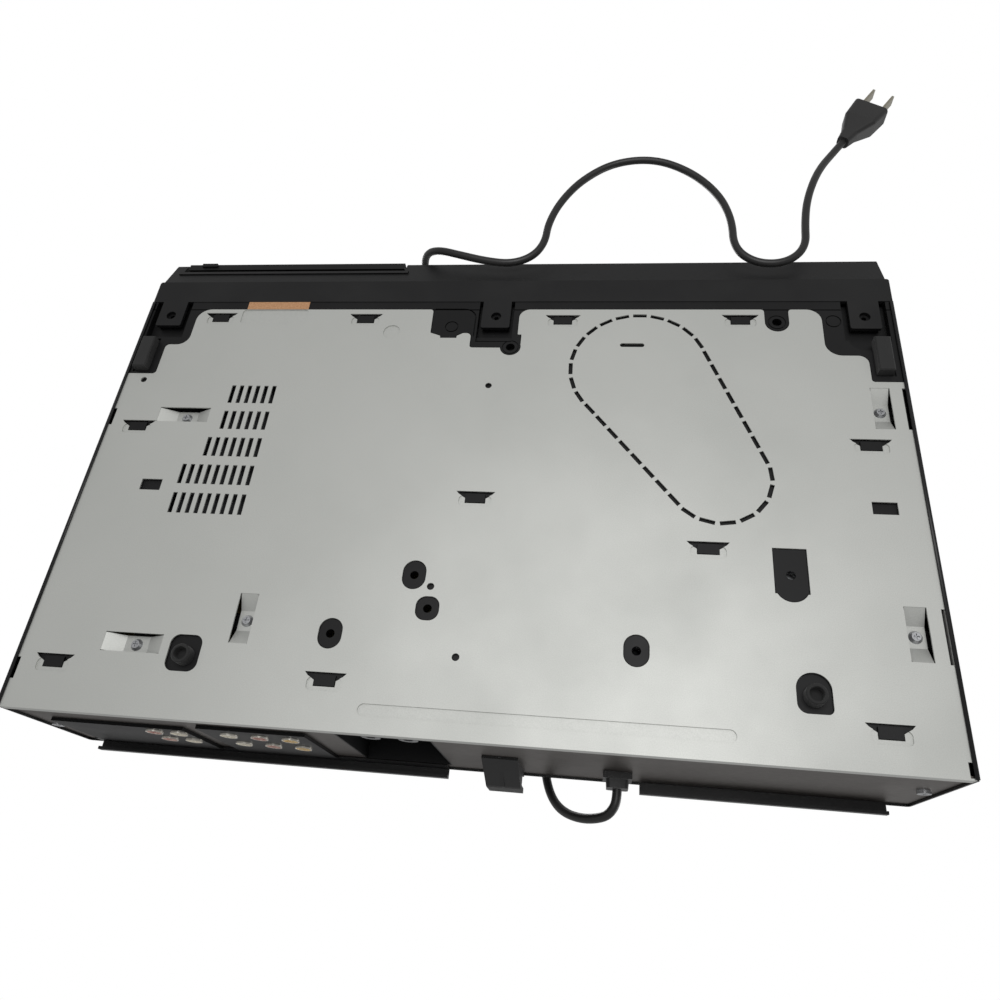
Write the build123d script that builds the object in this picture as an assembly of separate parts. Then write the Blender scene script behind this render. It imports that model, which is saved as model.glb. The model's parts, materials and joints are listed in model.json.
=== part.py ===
from build123d import *
import math
import os

# Disc and tape player: a DVD tray on the left, a video cassette deck on the right.
# Millimetres. +Z up, the front faces -Y, +X is to the right seen from the front.
# Origin: centre of the footprint, on the floor. Heights and depths of most pieces are
# counted from the base plate: at_y(0) is its front edge and at_z(0) its lower face.

# ---- case -------------------------------------------------------------------
body_width = 430.0
plate_depth = 242.0
body_height = 79.0          # lower face of the base plate to the top of the cover
front_depth = 44.0          # base plate's front edge to the front face
foot_height = 4.0
hook_reach = 9.0            # how far the cord hook stands out behind
button_proud = 1.0
sheet = 0.8                 # steel sheet of plate, cover and rear panel
wall = 2.5                  # moulded walls
fit = 0.3                   # clearance between pieces that move or drop in

overall_depth = button_proud + front_depth + plate_depth + hook_reach
y_face = -overall_depth / 2 + button_proud
y_plate = y_face + front_depth
y_rear = y_plate + plate_depth
z_plate = foot_height
z_top = z_plate + body_height
half_width = body_width / 2

# ---- front panel ------------------------------------------------------------
panel_gap = 6.0             # frame beam that shows between panel and plate
skirt_front = 20.0          # flat underside ends here, the lip rises from it
lip_rise = 8.0
nose_inset = 1.6            # the front part is this much narrower on each side
panel_round = 3.0
tab_thick = 2.0             # tabs of the panel that reach back over the frame
panel_tabs = [(-208.2, -192.2, 12.4, 3.6), (-9.0, 7.4, 13.3, 2.0), (191.4, 207.4, 13.1, 3.6)]
front_board_y = y_face + 13.0
switch_depth = 4.0
switch_gap = 1.0
buttons = {
    "power_button": (-192.0, 58.0, 14.0, 14.0),
    "open_button": (-76.0, 47.0, 18.0, 7.0),
    "play_button": (-128.0, 47.0, 18.0, 7.0),
    "stop_button": (-102.0, 47.0, 18.0, 7.0),
    "eject_button": (44.0, 24.0, 18.0, 7.0),
    "rewind_button": (74.0, 24.0, 18.0, 7.0),
    "forward_button": (100.0, 24.0, 18.0, 7.0),
    "record_button": (130.0, 24.0, 18.0, 7.0),
}

# ---- DVD loader -------------------------------------------------------------
dvd_x = -134.0
door_width = 142.0
door_height = 29.0
door_thick = 5.0
door_floor = 7.0            # height of the tray door's lower edge
pocket_depth = 9.5          # recess in the panel behind the tray door
tray_width = 128.0
tray_length = 158.0
tray_floor = 24.0
tray_thick = 6.0
disc_y = 38.0               # spindle, behind the plate's front edge
disc_recess_radius = 60.8
small_disc_radius = 40.5
rack_module = 1.0
pinion_teeth = 24
motor_teeth = 12
tray_gear_y = -12.0
turntable_radius = 14.0
sled_rod_radius = 1.5
sled_rod_spread = 20.0
screw_pitch = 3.0
traverse_floor = 14.0
loader_floor = 8.0
screw_offset = 31.0
axle_radius = 2.0
clamper_neck = 10.0

# ---- cassette deck ----------------------------------------------------------
deck_x = 108.0
cassette_width = 188.0
cassette_thick = 25.0
cassette_door_height = 31.5
cassette_door_floor = 42.5
flap_pin = 1.3
flap_axis_y = y_face + 5.0
flap_axis_z = z_plate + cassette_door_floor + cassette_door_height - 2.4
holder_length = 92.0
holder_floor = 43.5
holder_stroke = 38.0
lift_back = -8.0 + holder_length + holder_stroke + 4.0
reel_spacing = 92.0
reel_y = 72.0
deck_floor = 20.0
deck_depth = 190.0
drum_x = 100.0
drum_y = 158.0
drum_radius = 31.0
drum_tilt = 5.0
capstan_x = 150.0
capstan_y = 138.0
capstan_radius = 1.5
flywheel_radius = 22.0
clutch_x = 80.0
clutch_y = 41.0
clutch_radius = 15.0
capstan_pulley_radius = 10.0
cam_x = 34.0
cam_y = 140.0
cam_radius = 17.0
pinch_pivot = (172.0, 150.0)
pinch_reach = 20.0
pinch_rest = 170.5
board_height = 16.0

# ---- features of the base plate, from its front edge ------------------------
hook_slots = [(-167.6, 6.0), (-77.6, 6.6), (37.5, 7.3), (134.5, 7.0), (-195.7, 84.0),
              (0.0, 122.6), (113.4, 145.5), (193.0, 86.3), (-194.4, 218.7),
              (-59.0, 219.2), (184.1, 225.2)]
slot_width = 20.0
slot_depth = 6.5
hook_width = 10.5
pockets_across = [(-170.5, 76.4), (-157.5, 207.6)]
pockets_along = [(-104.8, 192.4), (201.0, 64.5), (201.0, 182.5)]
pocket_long = 30.0
pocket_short = 9.5
pocket_sink = 4.5
square_windows = [(-175.7, 121.4), (195.0, 121.4)]
small_holes = [(-202.3, 52.8), (-0.3, 53.7), (-16.2, 171.6), (0.0, 205.2)]
small_hole_radius = 1.8
centre_boss = (9.3, 27.1)
tab_boss = (153.7, 8.8)
ring_marks = [(183.0, 8.0, 4.1), (-25.8, 12.6, 3.9)]
oval_bosses = [(-25.0, 166.0), (-60.8, 197.4), (80.8, 197.2)]
oval_width = 11.6
oval_length = 15.0
short_boss = (-16.3, 182.6)
short_boss_size = 11.4
arch_window = (149.9, 157.4)
arch_width = 15.4
arch_length = 26.6
feet = [(-129.7, 212.3), (155.4, 212.3)]
foot_radius = 4.6
foot_bore = 3.2
foot_peg_radius = 2.8
front_pads = [(-206.3, 34.6), (205.2, 32.2)]
pad_width = 8.0
pad_length = 22.0
pad_moat = 1.2
vent_rows = [(56.0, 6), (73.4, 6), (90.8, 7), (108.2, 9), (125.6, 9)]
vent_right = -121.8
vent_pitch = 4.8
vent_width = 2.4
vent_length = 12.0
loop_front = (80.0, 41.0, 36.4)
loop_rear = (119.5, 107.0, 25.2)
loop_dash = 7.6
loop_gap = 2.2
loop_slot = 2.2
press_depth = 0.6
frame_under = sheet + press_depth + 0.2
frame_floor = frame_under + 2.0
boss_top = 5.4
bridge_top = 7.6
pit_top = 4.6               # ceiling of the sunk places in the frame's corners

# ---- rear panel -------------------------------------------------------------
jack_columns_a = [-151.0, -138.0]
jack_rows_a = [31.0, 47.5]
jack_columns_b = [-110.0, -94.5, -79.0]
jack_rows_b = [26.0, 45.0]
jack_radius = 4.2
jack_margin = 8.0
face_proud = 1.6
jack_proud = 2.4
face_a = (-202.5, -133.2, 24.0, 69.7)   # black facing round the left sockets: x and height
face_b = (-122.8, -69.0, 16.0, 69.7)
aerial_columns = [-40.0, -22.0]
aerial_height = 24.0
aerial_bay = (-53.0, -9.0, 12.0, 70.0)
aerial_radius = 4.7
rear_screw_x = 207.0
rear_screw_height = 37.0
rear_lips = [(-206.5, -11.0), (86.5, 204.0)]
lip_reach = 4.8
lip_drop = 4.0
flange_drop = 9.0
hook_x = 19.8
hook_half = 8.6
hook_heights = (44.0, 62.0)
relief_x = 75.0
relief_height = 58.0
relief_reach = 6.0
relief_neck = 11.0

# ---- mains lead -------------------------------------------------------------
lead_radius = 2.25
lead_route = [
    (75, 145, 62), (75, 150.4, 62), (72.7, 155, 63.5), (68.9, 157.8, 65.9), (59.6, 158.6, 72),
    (50.6, 156, 79.2), (44.3, 150.6, 86), (40, 142.2, 90.8), (37.6, 131, 90.8), (37, 115, 86.6),
    (44, 99, 85.6), (66, 82, 85.6), (93, 72, 85.6), (112, 52, 85.6), (109, 27, 85.6),
    (84, 12, 85.6), (54, 8, 85.6),
    (22, 0, 85.6), (-12, -8, 85.6), (-42, -24, 85.6), (-62, -48, 85.6), (-69, -78, 85.8),
    (-66, -108, 87.5), (-61, -137, 94.5), (-58, -157, 86), (-57, -161, 66),
    (-56.5, -160, 45), (-55.5, -158, 26), (-51, -155, 11.5), (-41.5, -150, 3.6),
    (-27, -144.5, 2.6), (-11, -139.5, 2.6), (4.5, -137, 2.6), (17, -142.5, 2.6),
    (23.5, -154, 2.6), (24.5, -170, 2.6), (31, -189, 2.6), (43.5, -208, 2.6),
    (63, -223, 2.6), (88, -225.5, 2.6), (110, -213, 2.6), (126, -193, 2.6),
    (133, -171, 2.6), (133, -147.5, 2.6), (144.8, -135.8, 2.6), (161.2, -135.8, 2.6),
    (173, -147.5, 2.6), (174, -167, 2.6), (176.5, -185, 2.6), (182, -203, 2.6),
    (188.5, -217.5, 4.2), (196, -230, 6.4), (203.5, -241, 6.4)]
plug_length = 34.0
plug_width = 22.0
plug_thick = 12.4
blade_length = 17.0
blade_spacing = 12.7

nodes = {}


def at_y(value):
    return y_plate + value


def at_z(value):
    return z_plate + value


def block(x, y, z):
    size = (x[1] - x[0], y[1] - y[0], z[1] - z[0])
    return Pos(x[0], y[0], z[0]) * Box(*size, align=(Align.MIN, Align.MIN, Align.MIN))


def upright(x, y, z, radius):
    low = (Align.CENTER, Align.CENTER, Align.MIN)
    return Pos(x, y, z[0]) * Cylinder(radius, z[1] - z[0], align=low)


def along_y(x, z, y, radius):
    low = (Align.CENTER, Align.CENTER, Align.MIN)
    return Pos(x, y[0], z) * Rot(-90, 0, 0) * Cylinder(radius, y[1] - y[0], align=low)


def along_x(y, z, x, radius):
    low = (Align.CENTER, Align.CENTER, Align.MIN)
    return Pos(x[0], y, z) * Rot(0, 90, 0) * Cylinder(radius, x[1] - x[0], align=low)


def pad(sketch, low, high):
    """A flat outline given in plate coordinates, raised from low to high above it."""
    return Pos(0, y_plate, z_plate + low) * extrude(sketch, high - low)


def fuse(pieces):
    body = pieces[0]
    for piece in pieces[1:]:
        body = body + piece
    return body


def gear(teeth, module, height, bore):
    """A spur gear standing on z = 0, its teeth cut as plain tapered lobes."""
    root = module * (teeth / 2 - 1.25)
    tip = module * (teeth / 2 + 0.85)
    lobes = Circle(root + 0.05)
    for number in range(teeth):
        tooth = Polygon((root - 0.4, -0.95 * module), (tip, -0.38 * module),
                        (tip, 0.38 * module), (root - 0.4, 0.95 * module), align=None)
        lobes += Rot(0, 0, 360 / teeth * number) * tooth
    return extrude(lobes - Circle(bore), height)


# ---- base plate and what shows through it -----------------------------------
def rounded(corners):
    """A flat outline through corners given as (x, y, radius)."""
    points = [(x, y) for x, y, _ in corners]
    radii = [radius for _, _, radius in corners]
    return make_face(FilletPolyline(*points, radius=radii, close=True))


def corner_notches():
    """Where the moulded frame comes to the surface along the plate's front edge."""
    side = half_width + 1
    left = rounded([(-side, -9, 0), (-166, -9, 0), (-166, 0, 0), (-183, 0, 8.3),
                    (-183, 26.9, 7), (-196.5, 26.9, 2.6), (-196.5, 48.3, 2.2), (-side, 48.3, 0)])
    right = rounded([(side, -9, 0), (164, -9, 0), (164, 0, 0), (177.1, 0, 7.8),
                     (177.1, 31.4, 8.4), (198, 31.4, 5), (198, 48.2, 1.6), (side, 48.2, 0)])
    centre = rounded([(-46, -9, 0), (-46, 0, 0), (-38, 0, 1.8), (-37.6, 17.2, 0.6),
                      (-31.6, 19.4, 0), (-31.6, 20.9, 0.5), (-22, 20.9, 0.5), (-22, 19.4, 0),
                      (-18.6, 17.4, 0), (-14, 17.4, 2.6), (-13.9, 27.7, 1.6), (9.3, 27.7, 0),
                      (14.9, 27.1, 0), (14.9, 18.2, 0.5), (12.7, 18.2, 0.5), (12.6, 0, 6),
                      (22, 0, 0), (22, -9, 0)])
    centre += Pos(*centre_boss) * Circle(5.8)
    tab = rounded([(140, -9, 0), (140, 0, 0), (147.3, 0, 1.8), (147.3, 9, 0),
                   (160.1, 9, 0), (160.1, 0, 1.8), (162, 0, 0), (162, -9, 0)])
    tab += Pos(153.7, 9) * Circle(6.4)
    return left + right + centre + tab


def hook_slot():
    half = slot_width / 2
    return Polygon((-half, -slot_depth / 2), (half, -slot_depth / 2), (half - 1.5, -1.6),
                   (hook_width / 2, 0.4), (hook_width / 2, slot_depth / 2),
                   (-hook_width / 2, slot_depth / 2), (-hook_width / 2, 0.4),
                   (-half + 1.5, -1.6), align=None)


def vent_slots():
    slots = []
    for start, count in vent_rows:
        for number in range(count):
            x = vent_right - number * vent_pitch
            slots.append(Pos(x, start + vent_length / 2) * Rectangle(vent_width, vent_length))
    return slots


def dashed_loop():
    """Short slots along an egg-shaped line round two circles."""
    (ax, ay, ar), (bx, by, br) = loop_front, loop_rear
    reach = math.hypot(bx - ax, by - ay)
    lean = math.atan2(by - ay, bx - ax)
    spread = math.acos((ar - br) / reach)
    straight = math.sqrt(reach ** 2 - (ar - br) ** 2)
    front_arc = 2 * (math.pi - spread) * ar
    rear_arc = 2 * spread * br
    total = front_arc + rear_arc + 2 * straight
    count = round(total / (loop_dash + loop_gap))
    dash = total / count - loop_gap

    def place(length):
        if length < front_arc:
            turn = lean + spread + length / ar
            return ax + ar * math.cos(turn), ay + ar * math.sin(turn), turn
        length -= front_arc
        turn = lean - spread
        if length < straight:
            x = ax + ar * math.cos(turn) + length * math.cos(turn + math.pi / 2)
            y = ay + ar * math.sin(turn) + length * math.sin(turn + math.pi / 2)
            return x, y, turn
        length -= straight
        if length < rear_arc:
            turn += length / br
            return bx + br * math.cos(turn), by + br * math.sin(turn), turn
        length -= rear_arc
        turn = lean + spread
        x = bx + br * math.cos(turn) + length * math.cos(turn + math.pi / 2)
        y = by + br * math.sin(turn) + length * math.sin(turn + math.pi / 2)
        return x, y, turn

    slots = []
    for number in range(count):
        x, y, turn = place((number + 0.5) * total / count)
        slots.append(Pos(x, y) * Rot(0, 0, math.degrees(turn)) * Rectangle(loop_slot, dash))
    return slots


def pocket_places():
    """Centre, length along X and length along Y of each sunk screw pocket."""
    places = [(x, y, pocket_long, pocket_short) for x, y in pockets_across]
    places += [(x, y, pocket_short, pocket_long - 5) for x, y in pockets_along]
    return places


def boss_outlines(grow=0.0):
    outlines = []
    for x, y in oval_bosses:
        outlines.append(Pos(x, y) * Rot(0, 0, 90) * SlotOverall(oval_length + grow,
                                                               oval_width + grow))
    size = short_boss_size + grow
    outlines.append(Pos(*short_boss) * RectangleRounded(size, size + 0.6, size * 0.42))
    x, y = arch_window
    arch = Pos(x, y - 2) * Rectangle(arch_width + grow, arch_length - 4 + grow)
    arch += Pos(x, y + arch_length / 2 - arch_width / 2) * Circle((arch_width + grow) / 2)
    outlines.append(arch)
    return outlines


def plate_openings():
    """Every hole in the base plate but the notches, as one flat outline."""
    holes = [Pos(x, y) * hook_slot() for x, y in hook_slots]
    holes += vent_slots() + dashed_loop() + boss_outlines()
    holes += [Pos(x, y) * Circle(small_hole_radius) for x, y in small_holes]
    holes += [Pos(x, y) * Rectangle(11.6, 6.6) for x, y in square_windows]
    holes.append(Pos(-130.1, 211.1) * RectangleRounded(16.2, 17.8, 4.6))
    holes.append(rounded([(147.8, 202.3, 7.3), (162.7, 202.3, 7.3), (162.7, 220, 2.6),
                          (147.8, 220, 4.4)]))
    holes.append(Pos(76.3, 25.3) * SlotOverall(13.2, 2.6))
    holes += [Pos(x, y) * Rectangle(wide, deep) for x, y, wide, deep in pocket_places()]
    return holes


def pocket_strap(x, y, wide, deep):
    """The strip of plate that dips into a pocket and carries its screw."""
    across = wide > deep
    span, width = (wide, deep) if across else (deep, wide)
    ramp = span * 0.3
    bridge = Polyline((-span / 2 - 0.4, 0), (-span / 2 + ramp, pocket_sink),
                      (span / 2 - ramp, pocket_sink), (span / 2 + 0.4, 0),
                      (span / 2 + 0.4, sheet), (span / 2 - ramp + 0.4, pocket_sink + sheet),
                      (-span / 2 + ramp - 0.4, pocket_sink + sheet), (-span / 2 - 0.4, sheet),
                      close=True)
    strap = extrude(Plane.XZ * make_face(bridge), width * 0.46, both=True)
    return Pos(x, at_y(y), z_plate) * Rot(0, 0, 0 if across else 90) * strap


def pressing(body, shape, opening=None):
    """The plate with a flat shape pressed inwards, and any slot in it kept open."""
    body -= pad(shape, -1, press_depth)
    body += pad(offset(shape, 0.5), sheet - 0.05, sheet + press_depth)
    if opening is not None:
        body -= pad(opening, -1, 3)
    return body


def bottom_plate():
    half = half_width - sheet - fit
    outline = Pos(0, plate_depth / 2) * Rectangle(2 * half, plate_depth)
    outline -= corner_notches()
    for y, length in ((78.5, 11.0), (223.3, 10.5)):
        outline -= Pos(-half, y) * Rectangle(4.4, length)
    for y, length in ((64.5, 25.0), (183.0, 25.0), (239.0, 8.0)):
        outline -= Pos(half, y) * Rectangle(4.4, length)
    for hole in plate_openings():
        outline -= hole
    body = pad(outline, 0, sheet)
    flange = 8.0
    for side in (-1, 1):
        edge = side * (half - sheet / 2)
        body += block((edge - sheet / 2, edge + sheet / 2), (at_y(88), at_y(212)),
                      (z_plate + sheet / 2, z_plate + flange))
    body += block((-half, half), (y_rear - sheet, y_rear), (z_plate, z_plate + 5.0))
    for x, y, wide, deep in pocket_places():
        body += pocket_strap(x, y, wide, deep)
    groove = Pos(40.6, 231.6) * SlotOverall(164, 5.6)
    round_press = Pos(-60.5, 16.7) * Circle(4.9)
    tongue = Pos(-134.2, 5.5) * RectangleRounded(41.0, 10.6, 2.0)
    for shape in (groove, round_press, tongue):
        body = pressing(body, shape)
    for x, y in hook_slots:
        low, high = y - 0.8, y + slot_depth / 2 + 2.1
        lip = Pos(x, (low + high) / 2) * RectangleRounded(slot_width - 3.4, high - low, 2.2)
        body = pressing(body, lip, Pos(x, y) * hook_slot())
    return body


def main_frame():
    """Moulded chassis: a ribbed floor, the front beam and its corners, hooks and bosses."""
    inner = half_width - sheet - 2 * fit - sheet
    low = frame_under
    floor = Pos(0, plate_depth / 2 - 1.6) * Rectangle(2 * inner, plate_depth - 4.0)
    for x, y, wide, deep in pocket_places():
        floor -= Pos(x, y) * Rectangle(wide + 3, deep + 3)
    floor -= Pos(vent_right - 4 * vent_pitch, 97) * Rectangle(42.0, 84.0)
    body = pad(floor, low, frame_floor)
    rim = Pos(0, plate_depth / 2 - 1.6) * Rectangle(2 * inner, plate_depth - 4.0)
    rim -= Pos(0, plate_depth / 2 - 1.6) * Rectangle(2 * inner - 4, plate_depth - 8.0)
    body += pad(rim, low, low + 6.0)
    body += block((-half_width + 2, half_width - 2), (at_y(-panel_gap), at_y(-0.3)),
                  (at_z(0.3), at_z(7.0)))
    body += block((-half_width + 2, half_width - 2), (at_y(-1.0), at_y(1.2)),
                  (at_z(low), at_z(7.0)))
    body += pad(offset(corner_notches() & notch_reach(), -0.4), 0.2, 6.0)
    for x, y in hook_slots:
        stem = block((x - hook_width / 2 + fit, x + hook_width / 2 - fit),
                     (at_y(y - 2.0), at_y(y + slot_depth / 2 - fit)), (at_z(0.25), at_z(low + 1)))
        body += stem
    for outline in boss_outlines(grow=-0.8):
        body += pad(outline, 0.5, boss_top)
    for x, y in oval_bosses + [short_boss, arch_window]:
        body -= upright(x, at_y(y), (at_z(-1), at_z(8)), 2.1)
    for x, y in feet:
        body += upright(x, at_y(y), (at_z(low), at_z(11)), 9.6)
        body -= upright(x, at_y(y), (at_z(-1), at_z(9)), foot_peg_radius + 0.05)
    for x, y in deck_posts() + dvd_posts():
        height = deck_floor if x > 0 else loader_floor
        body += upright(x, at_y(y), (at_z(low), at_z(height)), 4.5)
    body = frame_corners(body)
    for x, y, wide, deep in pocket_places():
        body -= block((x - wide / 2 - 0.8, x + wide / 2 + 0.8),
                      (at_y(y - deep / 2 - 0.8), at_y(y + deep / 2 + 0.8)),
                      (at_z(0), at_z(pocket_sink + sheet) + fit))
        body += upright(x, at_y(y), (at_z(pocket_sink + sheet), at_z(bridge_top)), 3.2)
        reach_x, reach_y = (4.0, deep / 2 + 3) if wide > deep else (wide / 2 + 3, 4.0)
        body += block((x - reach_x, x + reach_x), (at_y(y - reach_y), at_y(y + reach_y)),
                      (at_z(bridge_top - 1.4), at_z(bridge_top)))
        for side in (-1, 1):
            if wide > deep:
                rib = block((x - 4, x + 4), sorted((at_y(y + side * (deep / 2 + 1.7)),
                                                   at_y(y + side * reach_y))),
                            (at_z(low), at_z(bridge_top)))
            else:
                rib = block(sorted((x + side * (wide / 2 + 1.7), x + side * reach_x)),
                            (at_y(y - 4), at_y(y + 4)), (at_z(low), at_z(bridge_top)))
            body += rib
    return body


def frame_corners(body):
    """Sinks the frame round the panel's tabs, the front pads and the moulded rings."""
    for low, high, end, gap in panel_tabs:
        rear = 23.4 if low < 0 < high else 21.3
        body -= block((low - gap, high + gap), (at_y(-panel_gap - 1), at_y(rear)),
                      (at_z(-1), at_z(pit_top)))
        middle = (low + high) / 2
        seat = block((low + 1, high - 1), (at_y(-panel_gap + 0.3), at_y(end - 1)),
                     (at_z(tab_thick), at_z(pit_top + 0.5)))
        body += seat - upright(middle, at_y(end / 2 - 1.6), (at_z(0), at_z(4)), 1.3)
    low, high = panel_tabs[1][:2]
    body += block((low - 2.2, high + 2.2), (at_y(19.2), at_y(21.5)), (at_z(2), at_z(pit_top + 0.5)))
    body -= upright(197.5, at_y(19.6), (at_z(-1), at_z(pit_top)), 8.2)
    for x, y in front_pads:
        for grow, top in ((pad_moat, 1.2), (0, 1.5)):
            wide, deep = pad_width / 2 + grow, pad_length / 2 + grow
            body -= block((x - wide, x + wide), (at_y(y - deep), at_y(y + deep)),
                          (at_z(-1), at_z(top)))
    for x, y in (centre_boss, tab_boss):
        body -= upright(x, at_y(y), (at_z(-1), at_z(5)), 2.5)
        body -= pad(Pos(x, y) * (Circle(4.7) - Circle(4.2)), -1, 0.8)
    for x, y, radius in ring_marks:
        body -= pad(Pos(x, y) * (Circle(radius) - Circle(radius - 0.6)), -1, 0.9)
    outer = rounded([(-37, -0.9, 0), (-12, -0.9, 7.8), (-12, 19.6, 0), (-37, 19.6, 0)])
    inner = rounded([(-37, -0.2, 0), (-12.8, -0.2, 7.1), (-12.8, 19.6, 0), (-37, 19.6, 0)])
    return body - pad(outer - inner, -1, 1.3)


def notch_reach():
    """The notches only as far as the inside of the cover."""
    return Pos(0, 24.5) * Rectangle(2 * (half_width - sheet - 2 * fit), 49.0)


def deck_posts():
    return [(deck_x + side * 88.0, y) for side in (-1, 1) for y in (22.0, deck_depth)]


def dvd_posts():
    return [(dvd_x + side * 60.0, y) for side in (-1, 1) for y in (14.0, 138.0)]


def rear_feet():
    """Ring-shaped rear feet that stand in windows of the plate, pegged into the frame."""
    pieces = []
    for x, y in feet:
        ring = upright(x, at_y(y), (0, at_z(frame_under)), foot_radius)
        ring = chamfer(ring.edges().group_by(Axis.Z)[0], 0.5)
        ring -= upright(x, at_y(y), (-1, at_z(0.4)), foot_bore)
        peg = upright(x, at_y(y), (at_z(0.4), at_z(8.0)), foot_peg_radius)
        pieces.append(ring + peg)
    return Compound(pieces)


def rubber_pads():
    pieces = []
    for x, y in front_pads:
        pieces.append(block((x - pad_width / 2, x + pad_width / 2),
                            (at_y(y - pad_length / 2), at_y(y + pad_length / 2)),
                            (0, at_z(1.5))))
    return Compound([chamfer(p.edges().group_by(Axis.Z)[0], 0.6) for p in pieces])


# ---- covers -----------------------------------------------------------------
def top_cover():
    """Painted steel cover: a roof and two sides in one sheet, with two rear lips."""
    front = at_y(-panel_gap + fit)
    shell = block((-half_width, half_width), (front, y_rear), (at_z(0.6), z_top))
    shell = fillet([e for e in shell.edges().filter_by(Axis.Y) if e.center().Z > z_top - 1], 2.0)
    hollow = block((-half_width + sheet, half_width - sheet), (front - 1, y_rear + 1),
                   (z_plate - 2, z_top - sheet))
    shell -= hollow
    for low, high in rear_lips:
        shell += block((low, high), (y_rear - 1, y_rear + lip_reach), (z_top - sheet, z_top))
        shell += block((low, high), (y_rear + lip_reach - 1.6, y_rear + lip_reach),
                       (z_top - lip_drop, z_top))
    low, high = rear_lips[0]
    shell += block((low, high), (y_rear - sheet, y_rear), (z_top - flange_drop, z_top - sheet / 2))
    return shell


def rear_panel():
    """Rear wall in bare steel, with its openings for jacks, aerial bay and lead."""
    half = half_width - sheet - fit
    back = y_rear - sheet - fit
    panel = block((-half, half), (back - sheet, back), (at_z(sheet + fit), z_top - sheet - fit))
    skin = (back - 20, back + 1)
    for left, right, bottom, top in (face_a, face_b):
        panel -= block((left - 0.1, right + 0.1), skin, (at_z(bottom - 0.1), at_z(top + 0.1)))
    low, high, bottom, top = aerial_bay
    panel -= block((low - sheet, high + sheet), skin, (at_z(bottom) - sheet, at_z(top) + sheet))
    panel -= block((relief_x - relief_neck / 2, relief_x + relief_neck / 2), skin,
                   (at_z(relief_height) - relief_neck / 2, at_z(relief_height) + relief_neck / 2))
    for z in hook_heights:
        panel -= block((hook_x - 4, hook_x + 4), skin, (at_z(z) - 2, at_z(z) + 2))
    for side in (-1, 1):
        panel -= along_y(side * rear_screw_x, at_z(rear_screw_height), skin, 1.6)
    for side in (-1, 1):
        ear = block((side * (half - 10) - 5, side * (half - 10) + 5), (back - 9, back - sheet / 2),
                    (z_top - sheet - fit - 1.0, z_top - sheet - fit))
        panel += ear
    return panel


def jack_block_box(columns, rows):
    """Sides of a jack moulding as (x span, z span)."""
    x = (min(columns) - jack_margin, max(columns) + jack_margin)
    z = (at_z(min(rows)) - jack_margin, at_z(max(rows)) + jack_margin)
    return x, z


def jack_places():
    places = [(x, at_z(z)) for x in jack_columns_a for z in jack_rows_a]
    places += [(x, at_z(z)) for x in jack_columns_b for z in jack_rows_b]
    return places


def jack_blocks():
    """Two moulded jack housings with their facings, and the sunk bay of the aerials."""
    pieces = []
    back = y_rear - sheet - fit
    groups = ((jack_columns_a, jack_rows_a, face_a), (jack_columns_b, jack_rows_b, face_b))
    for columns, rows, (left, right, bottom, top) in groups:
        x, z = jack_block_box(columns, rows)
        body = block(x, (back - 18, back - 1), z)
        body += block((left, right), (back - 5, back + face_proud), (at_z(bottom), at_z(top)))
        for jx in columns:
            for jz in rows:
                body -= along_y(jx, at_z(jz), (back - 16, back + 3), jack_radius)
        body += block((x[0] + 2, x[1] - 2), (back - 18, back - 10), (at_z(board_height), z[0] + 1))
        pieces.append(body)
    low, high, bottom, top = aerial_bay
    tub = block((low - sheet, high + sheet), (back - 14, back),
                (at_z(bottom) - sheet, at_z(top) + sheet))
    tub -= block((low, high), (back - 14 + sheet, back + 1), (at_z(bottom), at_z(top)))
    for x in aerial_columns:
        tub -= along_y(x, at_z(aerial_height), (back - 20, back + 1), aerial_radius + fit)
    return Compound(pieces + [tub])


def jack_shells():
    back = y_rear - sheet - fit
    pieces = []
    for x, z in jack_places():
        can = along_y(x, z, (back - 16, back + jack_proud), jack_radius)
        can -= along_y(x, z, (back - 13, back + 4), jack_radius - 0.5)
        pieces.append(can)
    return Compound(pieces)


def jack_insert(x, z):
    back = y_rear - sheet - fit
    plug = along_y(x, z, (back - 13, back + 1.4), jack_radius - 0.5)
    return plug - along_y(x, z, (back - 9, back + 2), 1.6)


def inserts(columns):
    wanted = [(x, z) for x, z in jack_places() if x in columns]
    return Compound([jack_insert(x, z) for x, z in wanted])


def aerial_block():
    """Cast box with two threaded aerial sockets in the rear bay."""
    back = y_rear - sheet - fit
    body = block((-48, -14), (back - 34, back - 15), (at_z(board_height), at_z(40)))
    for x in aerial_columns:
        body += along_y(x, at_z(aerial_height), (back - 16, back - 2), aerial_radius)
        body -= along_y(x, at_z(aerial_height), (back - 14, back), 2.2)
    return body


def strain_relief():
    back = y_rear - sheet - fit
    z = at_z(relief_height)
    end = y_rear + relief_reach
    collar = block((relief_x - relief_neck / 2 - 1.4, relief_x + relief_neck / 2 + 1.4),
                   (back, back + 3.0),
                   (z - relief_neck / 2 - 1.4, z + relief_neck / 2 + 1.4))
    neck = block((relief_x - relief_neck / 2 + fit / 3, relief_x + relief_neck / 2 - fit / 3),
                 (back - 14, back + 0.5), (z - relief_neck / 2 + fit / 3,
                                           z + relief_neck / 2 - fit / 3))
    boot = loft([Plane((relief_x, back + 2.5, z), z_dir=(0, 1, 0)) * RectangleRounded(11, 11, 2),
                 Plane((relief_x, end, z), z_dir=(0, 1, 0)) * RectangleRounded(10.4, 10.4, 2)])
    return collar + neck + boot


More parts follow.
